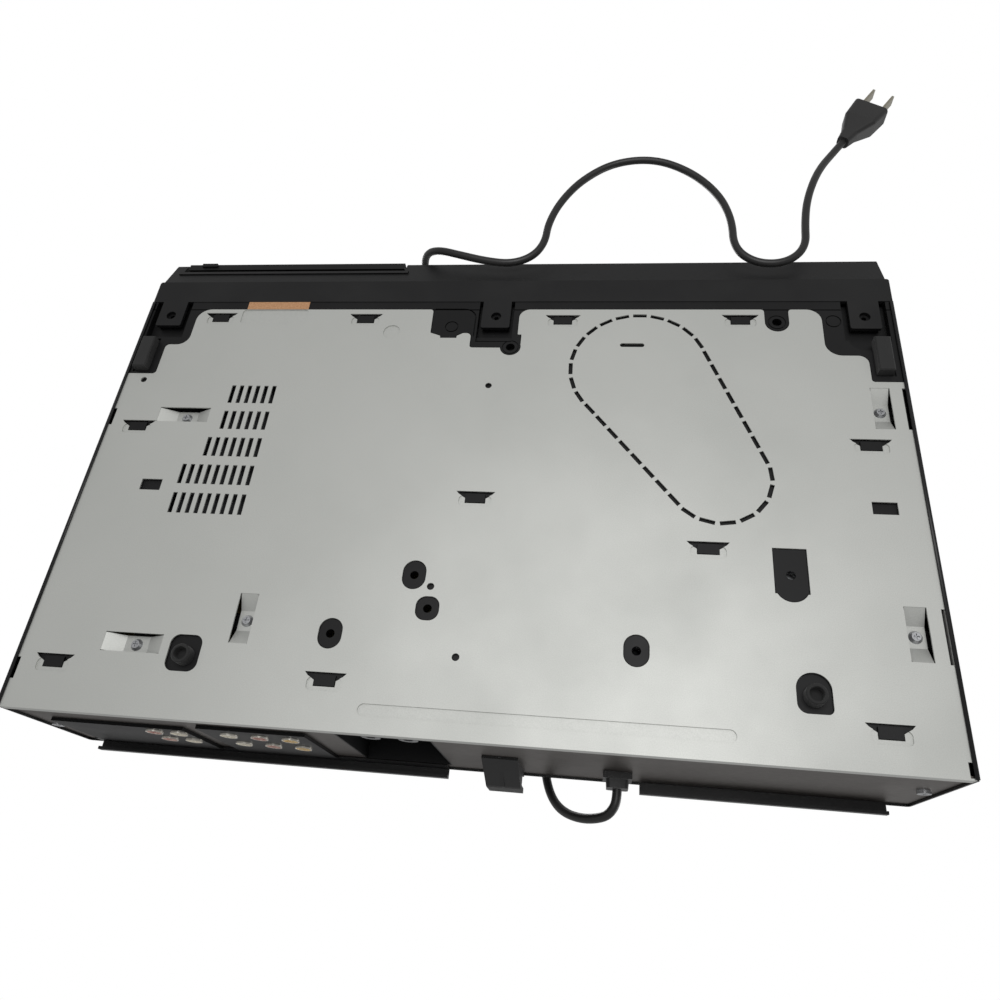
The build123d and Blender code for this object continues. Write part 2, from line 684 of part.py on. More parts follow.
def cord_hook():
    """Black clip on the rear wall that holds a wound-up lead behind its turned-up lip."""
    back = y_rear - sheet - fit
    reach = y_rear + hook_reach
    side = [(back, at_z(36)), (back + 1.2, at_z(36)), (reach - 0.4, at_z(61)), (reach, at_z(63)),
            (reach, at_z(77)), (reach - 2.4, at_z(77)), (reach - 2.4, at_z(66.5)),
            (back + 2.2, at_z(66.5)), (back + 2.2, at_z(76)), (back, at_z(76))]
    body = prism_x(side, hook_x - hook_half, hook_x + hook_half)
    rib = [(back + 0.2, at_z(34.4)), (reach - 0.2, at_z(60.2)), (reach, at_z(63)),
           (back + 0.2, at_z(40))]
    body += prism_x(rib, hook_x - 0.7, hook_x + 0.7)
    for z in hook_heights:
        body += block((hook_x - 3.7, hook_x + 3.7), (back - 4, back + 1),
                      (at_z(z) - 1.7, at_z(z) + 1.7))
    return body


# ---- front panel ------------------------------------------------------------
def panel_section(inset):
    """Side view of the panel as points (y, z), its skin moved inwards by inset."""
    rise = lip_rise / (front_depth - skirt_front)
    slope = math.hypot(1, rise)
    back = at_y(-panel_gap)
    low = z_plate + inset
    face = y_face + inset
    knee = at_y(-skirt_front) + inset * (slope - 1) / rise
    toe = low + (knee - face) * rise
    return [(back, low), (knee, low), (face, toe), (face, z_top - inset), (back, z_top - inset)]


def prism_x(points, low, high):
    """A side view (y, z) drawn out along X."""
    outline = make_face(Plane.YZ * Polyline(*points, close=True))
    return Pos(low, 0, 0) * extrude(outline, high - low, dir=(1, 0, 0))


def window_span():
    return (-58.0, 0.0), (at_z(44), at_z(72))


def cassette_span(grow=0.0):
    half = cassette_width / 2 + 4.0 + grow
    low = at_z(cassette_door_floor) - grow
    return (deck_x - half, deck_x + half), (low, low + cassette_door_height + 2 * grow)


def door_span():
    half = door_width / 2
    return (dvd_x - half, dvd_x + half), (at_z(door_floor), at_z(door_floor + door_height))


def button_outline(wide, high, grow=0.0):
    radius = min(wide, high) / 2 if wide == high else 2.2
    return RectangleRounded(wide + 2 * grow, high + 2 * grow, radius + grow - 0.01)


def button_prism(name, y_low, y_high, grow=0.0):
    x, z, wide, high = buttons[name]
    plane = Plane((x, y_low, at_z(z)), x_dir=(1, 0, 0), z_dir=(0, -1, 0))
    return extrude(plane * button_outline(wide, high, grow), -(y_high - y_low))


def front_panel():
    nose = half_width - nose_inset
    body = prism_x(panel_section(0), -nose, nose)
    long_edges = [e for e in body.edges().filter_by(Axis.X) if e.center().Y < y_face + 0.1]
    body = fillet(long_edges, panel_round)
    cheek = block((-half_width, half_width), (at_y(-skirt_front - 2), at_y(-panel_gap)),
                  (z_plate, z_top))
    fronts = [e for e in cheek.edges().filter_by(Axis.Z) if e.center().Y < at_y(-skirt_front)]
    body += fillet(fronts, 1.4)
    body -= prism_x(panel_section(wall), -nose + wall, nose - wall)
    body -= block((-nose + wall, nose - wall), (at_y(-panel_gap) - 1, at_y(-panel_gap) + 1),
                  (z_plate + wall, z_top - wall))
    door_x, door_z = door_span()
    back = y_face + pocket_depth
    body += block((door_x[0] - 3, door_x[1] + 4), (y_face + 1, back + wall),
                  (at_z(lip_rise) + 1, door_z[1] + 4)) & prism_x(panel_section(0), -nose, nose)
    body += prism_x([(back, z_plate + 4), (back + wall, z_plate + 3.2),
                     (back + wall, at_z(20)), (back, at_z(20))], door_x[0] - 3, door_x[1] + 4)
    body -= block((door_x[0] - 1.4, door_x[1] + 1.4), (y_face - 1, back), (z_plate - 1,
                                                                         door_z[1] + 1.2))
    slot = tray_width / 2 + 3
    body -= block((dvd_x - slot, dvd_x + slot), (back - 1, back + wall + 1),
                  (at_z(tray_floor) - 5, at_z(tray_floor + tray_thick) + 5))
    skin = (y_face - 1, y_face + wall + 1)
    x, z = cassette_span(fit)
    body -= block(x, skin, z)
    for side in (-1, 1):
        edge = x[0] if side < 0 else x[1]
        lug = sorted((edge, edge + side * 4.0))
        body += block(lug, (y_face + wall - 0.5, flap_axis_y + 3.2),
                      (flap_axis_z - 3.4, z_top - wall + 0.5))
        body -= along_x(flap_axis_y, flap_axis_z, (lug[0] - 1, lug[1] + 1), flap_pin + 0.05)
    x, z = window_span()
    body -= block(x, skin, z)
    for name in buttons:
        body -= button_prism(name, y_face - 2, y_face + wall + 1, fit)
    for low, high, end, _ in panel_tabs:
        tab = block((low, high), (at_y(-panel_gap - 2), at_y(end)), (z_plate, at_z(tab_thick)))
        tab = fillet([e for e in tab.edges().filter_by(Axis.Z) if e.center().Y > at_y(0)], 1.2)
        middle = (low + high) / 2
        body += tab - upright(middle, at_y(end / 2 - 1.6), (0, at_z(3)), 2.9)
    return body


def display_window():
    x, z = window_span()
    glass = block((x[0] + 0.1, x[1] - 0.1), (y_face + 0.2, y_face + wall), (z[0] + 0.1, z[1] - 0.1))
    rim = block((x[0] - 2, x[1] + 2), (y_face + wall, y_face + wall + 1.5), (z[0] - 2, z[1] + 2))
    return glass + rim


def tray_door():
    x, z = door_span()
    leaf = block(x, (y_face, y_face + door_thick), z)
    front = [e for e in leaf.edges() if abs(e.center().Y - y_face) < 0.01]
    leaf = fillet(front, 1.0)
    leaf += block((-196, -186), (y_face + 0.6, y_face + 3), (z[0] - 1.2, z[0] + 1))
    hollow = block((x[0] + 2, x[1] - 2), (y_face + 2.2, y_face + door_thick + 1),
                   (z[0] + 2, at_z(tray_floor) - 1.5))
    return leaf - hollow


def cassette_door():
    x, z = cassette_span()
    leaf = block(x, (y_face + 0.3, y_face + 2.5), z)
    leaf = fillet([e for e in leaf.edges() if e.center().Y < y_face + 0.4], 0.8)
    leaf += block((x[0], x[1]), (y_face + 1.5, y_face + 3.4), (z[1] - 6, z[1] - 4.6))
    for side in (-1, 1):
        edge = x[0] if side < 0 else x[1]
        arm = sorted((edge, edge - side * 3.0))
        leaf += block(arm, (y_face + 1.5, flap_axis_y), (flap_axis_z - 2.2, flap_axis_z + 2.2))
        leaf += along_x(flap_axis_y, flap_axis_z, arm, 2.2)
        pin = sorted((edge - side * 1.0, edge + side * 4.0))
        leaf += along_x(flap_axis_y, flap_axis_z, pin, flap_pin)
    return leaf


def push_button(name):
    cap = button_prism(name, y_face - button_proud, y_face + wall + 1.2)
    x, z, wide, high = buttons[name]
    flange = block((x - wide / 2 - 1.4, x + wide / 2 + 1.4),
                   (y_face + wall + fit, y_face + wall + fit + 1.2),
                   (at_z(z) - high / 2 - 1.4, at_z(z) + high / 2 + 1.4))
    stem = along_y(x, at_z(z), (y_face + wall + 1, front_board_y - switch_depth - switch_gap), 2.0)
    front = [e for e in cap.edges() if abs(e.center().Y - y_face + button_proud) < 0.01]
    return fillet(front, 0.5) + flange + stem


def front_board():
    """Switch board behind the face, with a tact switch for every button."""
    spans = [((-206, -60), (40.5, 74)), ((-62, 8), (8, 41)), ((-62, 4), (38, 41.5)),
             ((6, 206), (8, 40))]
    board = fuse([block(x, (front_board_y, front_board_y + 1.6), (at_z(z[0]), at_z(z[1])))
                  for x, z in spans])
    for x, z, _, _ in buttons.values():
        board += block((x - 3, x + 3), (front_board_y - switch_depth + 0.8, front_board_y),
                       (at_z(z) - 3, at_z(z) + 3))
        board += along_y(x, at_z(z), (front_board_y - switch_depth, front_board_y), 1.7)
    return board


# ---- DVD loader -------------------------------------------------------------
def disc_tray():
    half = tray_width / 2
    front = y_face + door_thick
    low = at_z(tray_floor)
    top = low + tray_thick
    body = block((dvd_x - half, dvd_x + half), (front, front + tray_length), (low, top))
    body = fillet([e for e in body.edges().filter_by(Axis.Z) if e.center().Y > front + 1], 6.0)
    body -= upright(dvd_x, at_y(disc_y), (low + 3.0, top + 1), disc_recess_radius)
    body -= upright(dvd_x, at_y(disc_y), (low + 2.0, top + 1), small_disc_radius)
    window = 19.5
    body -= block((dvd_x - window, dvd_x + window), (at_y(disc_y), front + tray_length + 1),
                  (low - 1, top + 1))
    body -= upright(dvd_x, at_y(disc_y), (low - 1, top + 1), window)
    rack_x = dvd_x - half + 5
    rack = block((rack_x - 3, rack_x + 0.6), (front + 4, front + tray_length - 6),
                 (low - 4.0, low + 0.5))
    for number in range(int((tray_length - 12) / (math.pi * rack_module))):
        y = at_y(tray_gear_y) + (number + 0.5 - rack_lead()) * math.pi * rack_module
        if front + 5 < y < front + tray_length - 8:
            tooth = Polygon((rack_x + 0.5, y - 1.1), (rack_x + 2.7, y - 0.4),
                            (rack_x + 2.7, y + 0.4), (rack_x + 0.5, y + 1.1), align=None)
            rack += Pos(0, 0, low - 4.0) * extrude(tooth, 4.0)
    for side in (-1, 1):
        rail = sorted((dvd_x + side * half - side * 0.5, dvd_x + side * (half + 2.2)))
        body += block(rail, (front + 2, front + tray_length - 8), (low + 1.6, low + 4.4))
    return body + rack


def rack_lead():
    """Whole rack pitches between the tray's front and the pinion."""
    return math.floor((at_y(tray_gear_y) - y_face - door_thick) / (math.pi * rack_module))


def tray_gear_x():
    return dvd_x - tray_width / 2 + 5 + 1.85 + rack_module * pinion_teeth / 2


def tray_gear():
    """Pinion under the tray, fixed to the wheel that the motor drives."""
    low = at_z(tray_floor) - 4.2
    pinion = gear(pinion_teeth, rack_module, 4.0, axle_radius + 0.06)
    wheel = gear(34, rack_module, 3.0, axle_radius + 0.06)
    return Pos(tray_gear_x(), at_y(tray_gear_y), low - 3.2) * (
        Pos(0, 0, 3.0) * pinion + Rot(0, 0, 0) * wheel)


def motor_centre():
    reach = rack_module * (34 + motor_teeth) / 2 + 0.15
    return tray_gear_x() + reach, at_y(tray_gear_y)


def motor_pinion():
    x, y = motor_centre()
    low = at_z(tray_floor) - 4.2 - 3.2
    turn = 180 / motor_teeth * (1 - motor_teeth % 2)
    pinion = gear(motor_teeth, rack_module, 3.4, 1.0)
    cap = Pos(0, 0, 3.2) * Cylinder(2.6, 1.2, align=(Align.CENTER, Align.CENTER, Align.MIN))
    return Pos(x, y, low) * (Rot(0, 0, turn) * pinion + cap)


def tray_motor():
    x, y = motor_centre()
    floor = at_z(loader_floor) + 2.0
    low = at_z(tray_floor) - 4.2 - 3.2
    body = upright(x, y, (floor, low - 1.0), 8.5)
    body += upright(x, y, (floor, low + 3.0), 0.96)
    return body


def dvd_frame():
    """Loader tray: a floor with two grooved side walls, axles and the motor's seat."""
    half = tray_width / 2
    low = at_z(loader_floor)
    front = y_face + pocket_depth + wall + 1
    rear = at_y(150)
    floor = block((dvd_x - half - 6, dvd_x + half + 6), (front, rear), (low, low + 2.0))
    body = floor
    for side in (-1, 1):
        inner = dvd_x + side * (half + 0.6)
        outer = dvd_x + side * (half + 6)
        body += block(sorted((inner, outer)), (front, rear), (low, at_z(tray_floor) + 9))
        groove = sorted((inner - side, dvd_x + side * (half + 2.2 + fit * 1.5)))
        body -= block(groove, (front - 1, rear + 1), (at_z(tray_floor) + 1.6 - fit,
                                                      at_z(tray_floor) + 4.4 + fit))
    body += block((dvd_x - half - 6, dvd_x + half + 6), (rear - 2.5, rear), (low, at_z(19)))
    gear_x, gear_y = tray_gear_x(), at_y(tray_gear_y)
    body += upright(gear_x, gear_y, (low, at_z(tray_floor) - 0.6), axle_radius)
    body += upright(gear_x, gear_y, (low, at_z(tray_floor) - 7.8), 5.0)
    for x, y in traverse_posts():
        body += upright(x, y, (low, at_z(traverse_floor)), 3.5)
    return body


def traverse_posts():
    return [(dvd_x + side * 34, at_y(disc_y + y)) for side in (-1, 1) for y in (-16, 70)]


def traverse_deck():
    """Plate that carries the spindle motor, the rods and the sled's screw."""
    low = at_z(traverse_floor)
    y = at_y(disc_y)
    deck = block((dvd_x - 40, dvd_x + 40), (y - 22, y + 72.8), (low, low + 1.6))
    opening = block((dvd_x - sled_rod_spread + 0.5, dvd_x + sled_rod_spread - 0.5),
                    (y + 16, y + 70), (low - 1, low + 3))
    deck -= opening
    deck -= block((dvd_x + screw_offset - 2.6, dvd_x + screw_offset + 2.6),
                  (y + 18.5, y + 67.5), (low - 1, low + 3))
    for side in (-1, 1):
        for place in (y + 15.5, y + 70.5):
            x = dvd_x + side * (sled_rod_spread + 2)
            saddle = block((x - 3, x + 3), (place - 2, place + 2), (low, low + 5.6))
            deck += saddle
        deck += along_y(dvd_x + side * (sled_rod_spread + 2), low + 3.4, (y + 13, y + 73),
                        sled_rod_radius)
    for place in (y + 15.5, y + 70.5):
        x = dvd_x + screw_offset
        bearing = block((x - 3, x + 3), (place - 2, place + 2), (low, low + 5.6))
        deck += bearing - along_y(x, low + 3.4, (place - 3, place + 3), 1.3 + 0.06)
    return deck


def lead_screw():
    """Sled screw: a threaded stretch shown as fine collars, and its driven wheel."""
    low = at_z(traverse_floor)
    x = dvd_x + screw_offset
    y = at_y(disc_y)
    body = along_y(x, low + 3.4, (y + 12, y + 75.6), 1.3)
    count = int(48 / screw_pitch)
    for number in range(count):
        start = y + 19.5 + number * screw_pitch
        body += along_y(x, low + 3.4, (start, start + screw_pitch / 2), 1.9)
    wheel = Pos(x, y + 73.4, low + 3.4) * Rot(-90, 0, 0) * gear(14, 0.5, 2.4, 0.2)
    return body + wheel


def pickup():
    low = at_z(traverse_floor)
    y = at_y(disc_y) + 19
    body = block((dvd_x - 18, dvd_x + 18), (y, y + 15), (low + 2.2, low + 7.8))
    body += block((dvd_x - 26, dvd_x + 26), (y + 3, y + 12), (low + 1.9, low + 6.4))
    for side in (-1, 1):
        body -= along_y(dvd_x + side * (sled_rod_spread + 2), low + 3.4, (y - 1, y + 16),
                        sled_rod_radius + 0.06)
    body += block((dvd_x + 25, dvd_x + screw_offset - 2.2), (y + 6, y + 9),
                  (low + 2.6, low + 4.4))
    body += upright(dvd_x, y + 7, (low + 7, low + 10.2), 5.0)
    body += upright(dvd_x, y + 7, (low + 10, low + 10.8), 2.4)
    return body


def spindle_motor():
    low = at_z(traverse_floor) + 1.6
    return upright(dvd_x, at_y(disc_y), (low, low + 4.0), 12.5) - upright(
        dvd_x, at_y(disc_y), (low - 1, low + 5), 1.06)


def turntable():
    low = at_z(traverse_floor) + 1.6
    y = at_y(disc_y)
    body = upright(dvd_x, y, (low + 4.3, low + 8.4), turntable_radius)
    body = chamfer(body.edges().group_by(Axis.Z)[-1], 0.6)
    body += upright(dvd_x, y, (low + 0.2, low + 5), 1.0)
    hub = Pos(dvd_x, y, low + 8.2) * Cone(7.4, 6.2, 2.2, align=(Align.CENTER, Align.CENTER,
                                                                Align.MIN))
    return body + hub


def clamp_bridge():
    """Steel strap over the tray that keeps the disc clamper above the spindle."""
    half = tray_width / 2 + 6
    low = at_z(tray_floor) + 9
    y = at_y(disc_y)
    body = block((dvd_x - half, dvd_x + half), (y - 21, y + 21), (low + 6.0, low + 7.2))
    for side in (-1, 1):
        foot = sorted((dvd_x + side * half, dvd_x + side * (half - 1.2)))
        body += block(foot, (y - 21, y + 21), (low, low + 7.2))
        tab = sorted((dvd_x + side * half, dvd_x + side * (half - 5)))
        body += block(tab, (y - 21, y + 21), (low, low + 1.2))
    return body - upright(dvd_x, y, (low + 5, low + 8), clamper_neck + 0.5)


def disc_clamper():
    low = at_z(tray_floor) + 9
    y = at_y(disc_y)
    body = upright(dvd_x, y, (low - 2.0, low + 2.4), 15.0)
    body += upright(dvd_x, y, (low + 2.0, low + 8.0), clamper_neck)
    return body + upright(dvd_x, y, (low + 7.6, low + 9.2), 13.0)


# ---- cassette deck ----------------------------------------------------------
def deck_chassis():
    """Pressed steel deck with turned-down sides and bushes for every shaft."""
    low = at_z(deck_floor)
    x0, x1 = deck_x - 94, deck_x + 94
    y0, y1 = at_y(14), at_y(deck_depth + 8)
    deck = block((x0, x1), (y0, y1), (low, low + 1.2))
    for x in (x0, x1 - 1.2):
        deck += block((x, x + 1.2), (y0, y1), (low - 5, low + 1.2))
    deck += block((x0, x1), (y1 - 1.2, y1), (low - 5, low + 1.2))
    deck -= upright(capstan_x, at_y(capstan_y), (low - 1, low + 2), 3.2)
    for side in (-1, 1):
        deck += upright(deck_x + side * reel_spacing / 2, at_y(reel_y), (low, low + 9), axle_radius)
        rail = sorted((deck_x + side * 92.8, deck_x + side * 99.4))
        deck += block(sorted((deck_x + side * 92.8, deck_x + side * 94)),
                      (at_y(lift_back + 0.4), at_y(lift_back + 9)), (low, low + 40))
        deck += block(rail, (at_y(lift_back + 0.4), at_y(lift_back + 1.6)), (low, low + 40))
    deck += upright(cam_x, at_y(cam_y), (low, low + 6.5), axle_radius)
    deck += upright(pinch_pivot[0], at_y(pinch_pivot[1]), (low, low + 16), axle_radius)
    deck += upright(clutch_x, at_y(clutch_y), (low - 9, low + 1.2), axle_radius)
    deck -= upright(drum_x, at_y(drum_y), (low - 1, low + 2), 8.0)
    return deck


def roller_place():
    turn = math.radians(pinch_rest)
    return (pinch_pivot[0] + pinch_reach * math.cos(turn),
            at_y(pinch_pivot[1]) + pinch_reach * math.sin(turn))


def drum_axis(z):
    """Pose on the drum's leaning axis, z above the deck."""
    return Pos(drum_x, at_y(drum_y), at_z(deck_floor) + 1.2) * Rot(drum_tilt, 0, 0) * Pos(0, 0, z)


def drum_base():
    low = (Align.CENTER, Align.CENTER, Align.MIN)
    body = drum_axis(4.0) * Cylinder(drum_radius, 13.0, align=low)
    body -= drum_axis(3.0) * Cylinder(2.06, 15.0, align=low)
    body -= drum_axis(14.4) * (Cylinder(drum_radius + 1, 0.5, align=low)
                               - Cylinder(drum_radius - 0.4, 0.5, align=low))
    seat = upright(drum_x, at_y(drum_y), (at_z(deck_floor) + 1.2, at_z(deck_floor) + 9), 24.0)
    seat -= drum_axis(-4.0) * Cylinder(2.06, 20.0, align=low)
    return body + seat


def drum_rotor():
    low = (Align.CENTER, Align.CENTER, Align.MIN)
    body = drum_axis(17.4) * Cylinder(drum_radius, 17.0, align=low)
    body = body - drum_axis(31.0) * (Cylinder(drum_radius - 4, 4.0, align=low)
                                     - Cylinder(10.0, 4.0, align=low))
    body += drum_axis(2.5) * Cylinder(2.0, 16.0, align=low)
    for side in (-1, 1):
        body += drum_axis(17.6) * Pos(side * (drum_radius - 1.0), 0, 0.8) * Box(2.1, 2.4, 1.4)
    return body


def capstan():
    """Flywheel under the deck with its pulley and the polished capstan shaft."""
    x, y = capstan_x, at_y(capstan_y)
    body = upright(x, y, (at_z(6.2), at_z(10.4)), flywheel_radius)
    body += upright(x, y, (at_z(10.2), at_z(11.2)), capstan_pulley_radius + 1)
    body += upright(x, y, (at_z(11.0), at_z(13.4)), capstan_pulley_radius)
    body += upright(x, y, (at_z(13.2), at_z(14.0)), capstan_pulley_radius + 1)
    return body + upright(x, y, (at_z(13.8), at_z(deck_floor + 30)), capstan_radius)


def capstan_motor():
    """Fixed motor housing between flywheel and deck, with the capstan's bearing."""
    x, y = capstan_x, at_y(capstan_y)
    body = upright(x, y, (at_z(14.6), at_z(deck_floor)), 14.0)
    body += upright(x, y, (at_z(deck_floor) - 0.5, at_z(deck_floor + 12)), 3.1)
    return body - upright(x, y, (at_z(13), at_z(deck_floor + 13)), capstan_radius + 0.05)


def clutch_pulley():
    x, y = clutch_x, at_y(clutch_y)
    body = upright(x, y, (at_z(10.2), at_z(11.2)), clutch_radius + 1)
    body += upright(x, y, (at_z(11.0), at_z(13.4)), clutch_radius)
    body += upright(x, y, (at_z(13.2), at_z(18.0)), clutch_radius + 1)
    return body - upright(x, y, (at_z(10), at_z(19)), axle_radius + 0.06)


def reel_belt():
    """Flat belt round the capstan's pulley and the clutch."""
    big = (clutch_x, at_y(clutch_y), clutch_radius)
    small = (capstan_x, at_y(capstan_y), capstan_pulley_radius)

    def band(grow):
        dx, dy = small[0] - big[0], small[1] - big[1]
        reach = math.hypot(dx, dy)
        lean = math.atan2(dy, dx)
        spread = math.acos((big[2] - small[2]) / reach)
        corners = []
        for x, y, radius in (big, small):
            for turn in (lean + spread, lean - spread):
                corners.append((x + (radius + grow) * math.cos(turn),
                                y + (radius + grow) * math.sin(turn)))
        flat = Polygon(corners[0], corners[1], corners[3], corners[2], align=None)
        return flat + Pos(big[0], big[1]) * Circle(big[2] + grow) + Pos(
            small[0], small[1]) * Circle(small[2] + grow)

    return Pos(0, 0, at_z(11.4)) * extrude(band(0.9) - band(0.1), 1.6)


def reel_table(side):
    x, y = deck_x + side * reel_spacing / 2, at_y(reel_y)
    low = at_z(deck_floor) + 1.5
    body = upright(x, y, (low, low + 3.0), 16.0) + upright(x, y, (low + 2.8, low + 9.4), 9.0)
    for number in range(3):
        turn = math.radians(120 * number)
        body += Pos(x + 9.6 * math.cos(turn), y + 9.6 * math.sin(turn), low + 6.2) * Rot(
            0, 0, 120 * number) * Box(3.4, 2.2, 6.4)
    return body - upright(x, y, (low - 1, low + 8), axle_radius + 0.06)


def pinch_arm():
    x, y = pinch_pivot[0], at_y(pinch_pivot[1])
    low = at_z(deck_floor) + 3
    end = roller_place()
    body = upright(x, y, (low, low + 12), 4.5)
    middle = Pos((x + end[0]) / 2, (y + end[1]) / 2, low + 10.6)
    bar = middle * Rot(0, 0, pinch_rest) * Box(pinch_reach, 6.0, 2.6)
    body += bar + upright(end[0], end[1], (low + 9.4, low + 25), 1.5)
    body -= upright(x, y, (low - 1, low + 14), axle_radius + 0.06)
    return body


def pinch_roller():
    x, y = roller_place()
    low = at_z(deck_floor) + 3
    return upright(x, y, (low + 12.4, low + 24.4), 6.4) - upright(x, y, (low, low + 30), 1.56)


def cam_gear():
    low = at_z(deck_floor) + 1.6
    body = Pos(cam_x, at_y(cam_y), low) * gear(int(2 * cam_radius), 1.0, 4.0, axle_radius + 0.06)
    return body - upright(cam_x + 9, at_y(cam_y), (low + 2.4, low + 5), 2.6)


def loading_motor():
    """Motor and worm housing beside the cam gear."""
    low = at_z(deck_floor) + 1.2
    y = cam_y + cam_radius + 12
    body = block((cam_x - 12, cam_x + 14), (at_y(y), at_y(y + 14)), (low, low + 4))
    return body + along_x(at_y(y + 7), low + 9, (cam_x - 11, cam_x + 12), 6.5)


def cassette_holder():
    """Sheet basket that takes the cassette: a floor, two sides and a roof."""
    half = cassette_width / 2 + 1.0
    low = at_z(holder_floor)
    top = low + cassette_thick + 3.5
    y = (at_y(-8), at_y(-8 + holder_length))
    body = block((deck_x - half - 1, deck_x + half + 1), y, (low, top))
    body -= block((deck_x - half, deck_x + half), (y[0] - 1, y[1] + 1), (low + 1, top - 1))
    body -= block((deck_x - half + 9, deck_x + half - 9), (y[0] + 25, y[1] + 1), (low - 1, low + 2))
    body -= block((deck_x - 40, deck_x + 40), (y[0] + 20, y[1] - 20), (top - 2, top + 1))
    for side in (-1, 1):
        for place in (y[0] + 14, y[1] - 14):
            pin = sorted((deck_x + side * (half + 0.5), deck_x + side * (half + 3.4)))
            body += along_x(place, low + 10, pin, 1.8)
    return body


def lift_frame():
    """Two side cheeks joined over the top, which lower the basket onto the reels."""
    half = cassette_width / 2 + 2.4
    low = at_z(holder_floor)
    y = (at_y(-6), at_y(lift_back))
    pieces = []
    for side in (-1, 1):
        cheek = block(sorted((deck_x + side * half, deck_x + side * (half + 1.2))), y,
                      (low + 2, low + 20))
        slot = block(sorted((deck_x + side * (half - 1), deck_x + side * (half + 3))),
                     (y[0] + 9, y[1] - 12), (low + 10 - 1.8 - fit, low + 10 + 1.8 + fit))
        pieces.append(cheek - slot)
        post = block(sorted((deck_x + side * half, deck_x + side * (half + 1.2))),
                     (y[1] - 8, y[1]), (low + 2, low + 29.9))
        pieces.append(post)
    pieces.append(block((deck_x - half - 1.2, deck_x + half + 1.2), (y[1] - 8, y[1]),
                        (low + 28.9, low + 29.9)))
    return fuse(pieces)


# ---- boards and wiring ------------------------------------------------------
def main_board():
    """Signal board across the rear, with its cans, chips and ribbon sockets."""
    z = at_z(board_height)
    y = (at_y(154), at_y(222))
    board = block((-208, 8), y, (z - 1.6, z))
    parts = [((-206, -176), (170, 196), 12.0), ((-60, -30), (160, 184), 4.0),
             ((-120, -96), (166, 190), 2.4), ((-90, -78), (160, 200), 6.0),
             ((-168, -140), (160, 178), 3.0), ((-20, 4), (180, 203), 9.0)]
    for x, span, height in parts:
        board += block(x, (at_y(span[0]), at_y(span[1])), (z - 0.2, z + height))
    for x, y_mid in ((-132, 200), (-50, 196), (-5, 170), (-150, 190)):
        board += upright(x, at_y(y_mid), (z - 0.2, z + 11), 4.0)
    for x in (-204.0, -100.0, 2.0):
        board += upright(x, at_y(158), (at_z(frame_floor), z), 2.5)
    return board


def power_board():
    """Supply board beside the mains lead."""
    z = at_z(board_height)
    board = block((14, 130), (at_y(203), at_y(236)), (z - 1.6, z))
    board += upright(28, at_y(222), (z - 0.2, z + 26), 8.0)
    board += upright(46, at_y(226), (z - 0.2, z + 18), 5.0)
    board += block((106, 124), (at_y(208), at_y(222)), (z - 0.2, z + 14))
    board += block((54, 58), (at_y(206), at_y(232)), (z - 0.2, z + 24))
    for x in (18.0, 126.0):
        board += upright(x, at_y(207), (at_z(frame_floor), z), 2.5)
    return board


def transformer():
    z = at_z(board_height)
    core = block((72, 98), (at_y(207), at_y(231)), (z, z + 22))
    core = chamfer(core.edges().filter_by(Axis.Z), 2.0)
    return core + block((70, 100), (at_y(213), at_y(225)), (z, z + 18))


def ground_foil():
    """Strip of copper foil from the front beam over the plate's edge."""
    x = (-152.6, -114.2)
    return block(x, (at_y(-panel_gap + 0.1), at_y(-0.3)), (at_z(0.1), at_z(0.3)))


# ---- fasteners --------------------------------------------------------------
def screw_down(x, y, z):
    """Cross-head screw seen from below: head under z, shank above it."""
    head = Pos(x, y, z) * Rot(180, 0, 0) * Cone(3.0, 2.0, 1.6, align=(
        Align.CENTER, Align.CENTER, Align.MIN))
    for turn in (0, 90):
        head -= Pos(x, y, z - 1.6) * Rot(0, 0, turn) * Box(2.6, 0.6, 1.6)
    return head


def pocket_screws():
    return Compound([screw_down(x, at_y(y), at_z(pocket_sink)) for x, y, _, _ in pocket_places()])


def cover_screws():
    """Two screws that hold the rear wall to the cover's flanges."""
    back = y_rear - sheet - fit
    pieces = []
    for side in (-1, 1):
        x, z = side * rear_screw_x, at_z(rear_screw_height)
        head = along_y(x, z, (back, back + 1.6), 3.0) + along_y(x, z, (back - 7, back + 0.2), 1.55)
        for turn in (0, 90):
            head -= Pos(x, back + 1.6, z) * Rot(0, turn, 0) * Box(3.0, 1.4, 0.6)
        pieces.append(head)
    return Compound(pieces)


# ---- mains lead -------------------------------------------------------------
def power_cord():
    points = [Vector(*p) for p in lead_route]
    radii = []
    for before, here, after in zip(points, points[1:], points[2:]):
        turn = math.radians((here - before).get_angle(after - here))
        run = min((here - before).length, (after - here).length)
        radii.append(0.45 * run / math.tan(turn / 2))
    path = FilletPolyline(*points, radius=radii)
    tube = sweep(Plane(path @ 0, z_dir=path % 0) * Circle(lead_radius), path=path)
    print("lead radii", [round(r, 1) for r in radii])
    print("lead length", round(path.length, 1), "volume ratio",
          round(tube.volume / (math.pi * lead_radius ** 2 * path.length), 4))
    return tube


def plug_place():
    """Plane at the lead's far end, looking along the plug."""
    end, last = Vector(*lead_route[-1]), Vector(*lead_route[-2])
    ahead = Vector(end.X - last.X, end.Y - last.Y, 0).normalized()
    return Plane(end, x_dir=Vector(0, 0, 1), z_dir=ahead)


def plug_body():
    base = plug_place()
    sections = [(0, 7.4, 7.4), (8, 9.0, 10.0), (20, plug_thick, plug_width - 2),
                (plug_length, plug_thick, plug_width)]
    shapes = [base.offset(reach) * RectangleRounded(thick, wide, 2.6)
              for reach, thick, wide in sections]
    return loft(shapes, ruled=True)


def plug_blades():
    base = plug_place()
    pieces = []
    for side in (-1, 1):
        place = base.offset(plug_length) * Pos(0, side * blade_spacing / 2)
        pieces.append(place * Box(6.3, 1.5, blade_length, align=(
            Align.CENTER, Align.CENTER, Align.MIN)))
    return Compound(pieces)


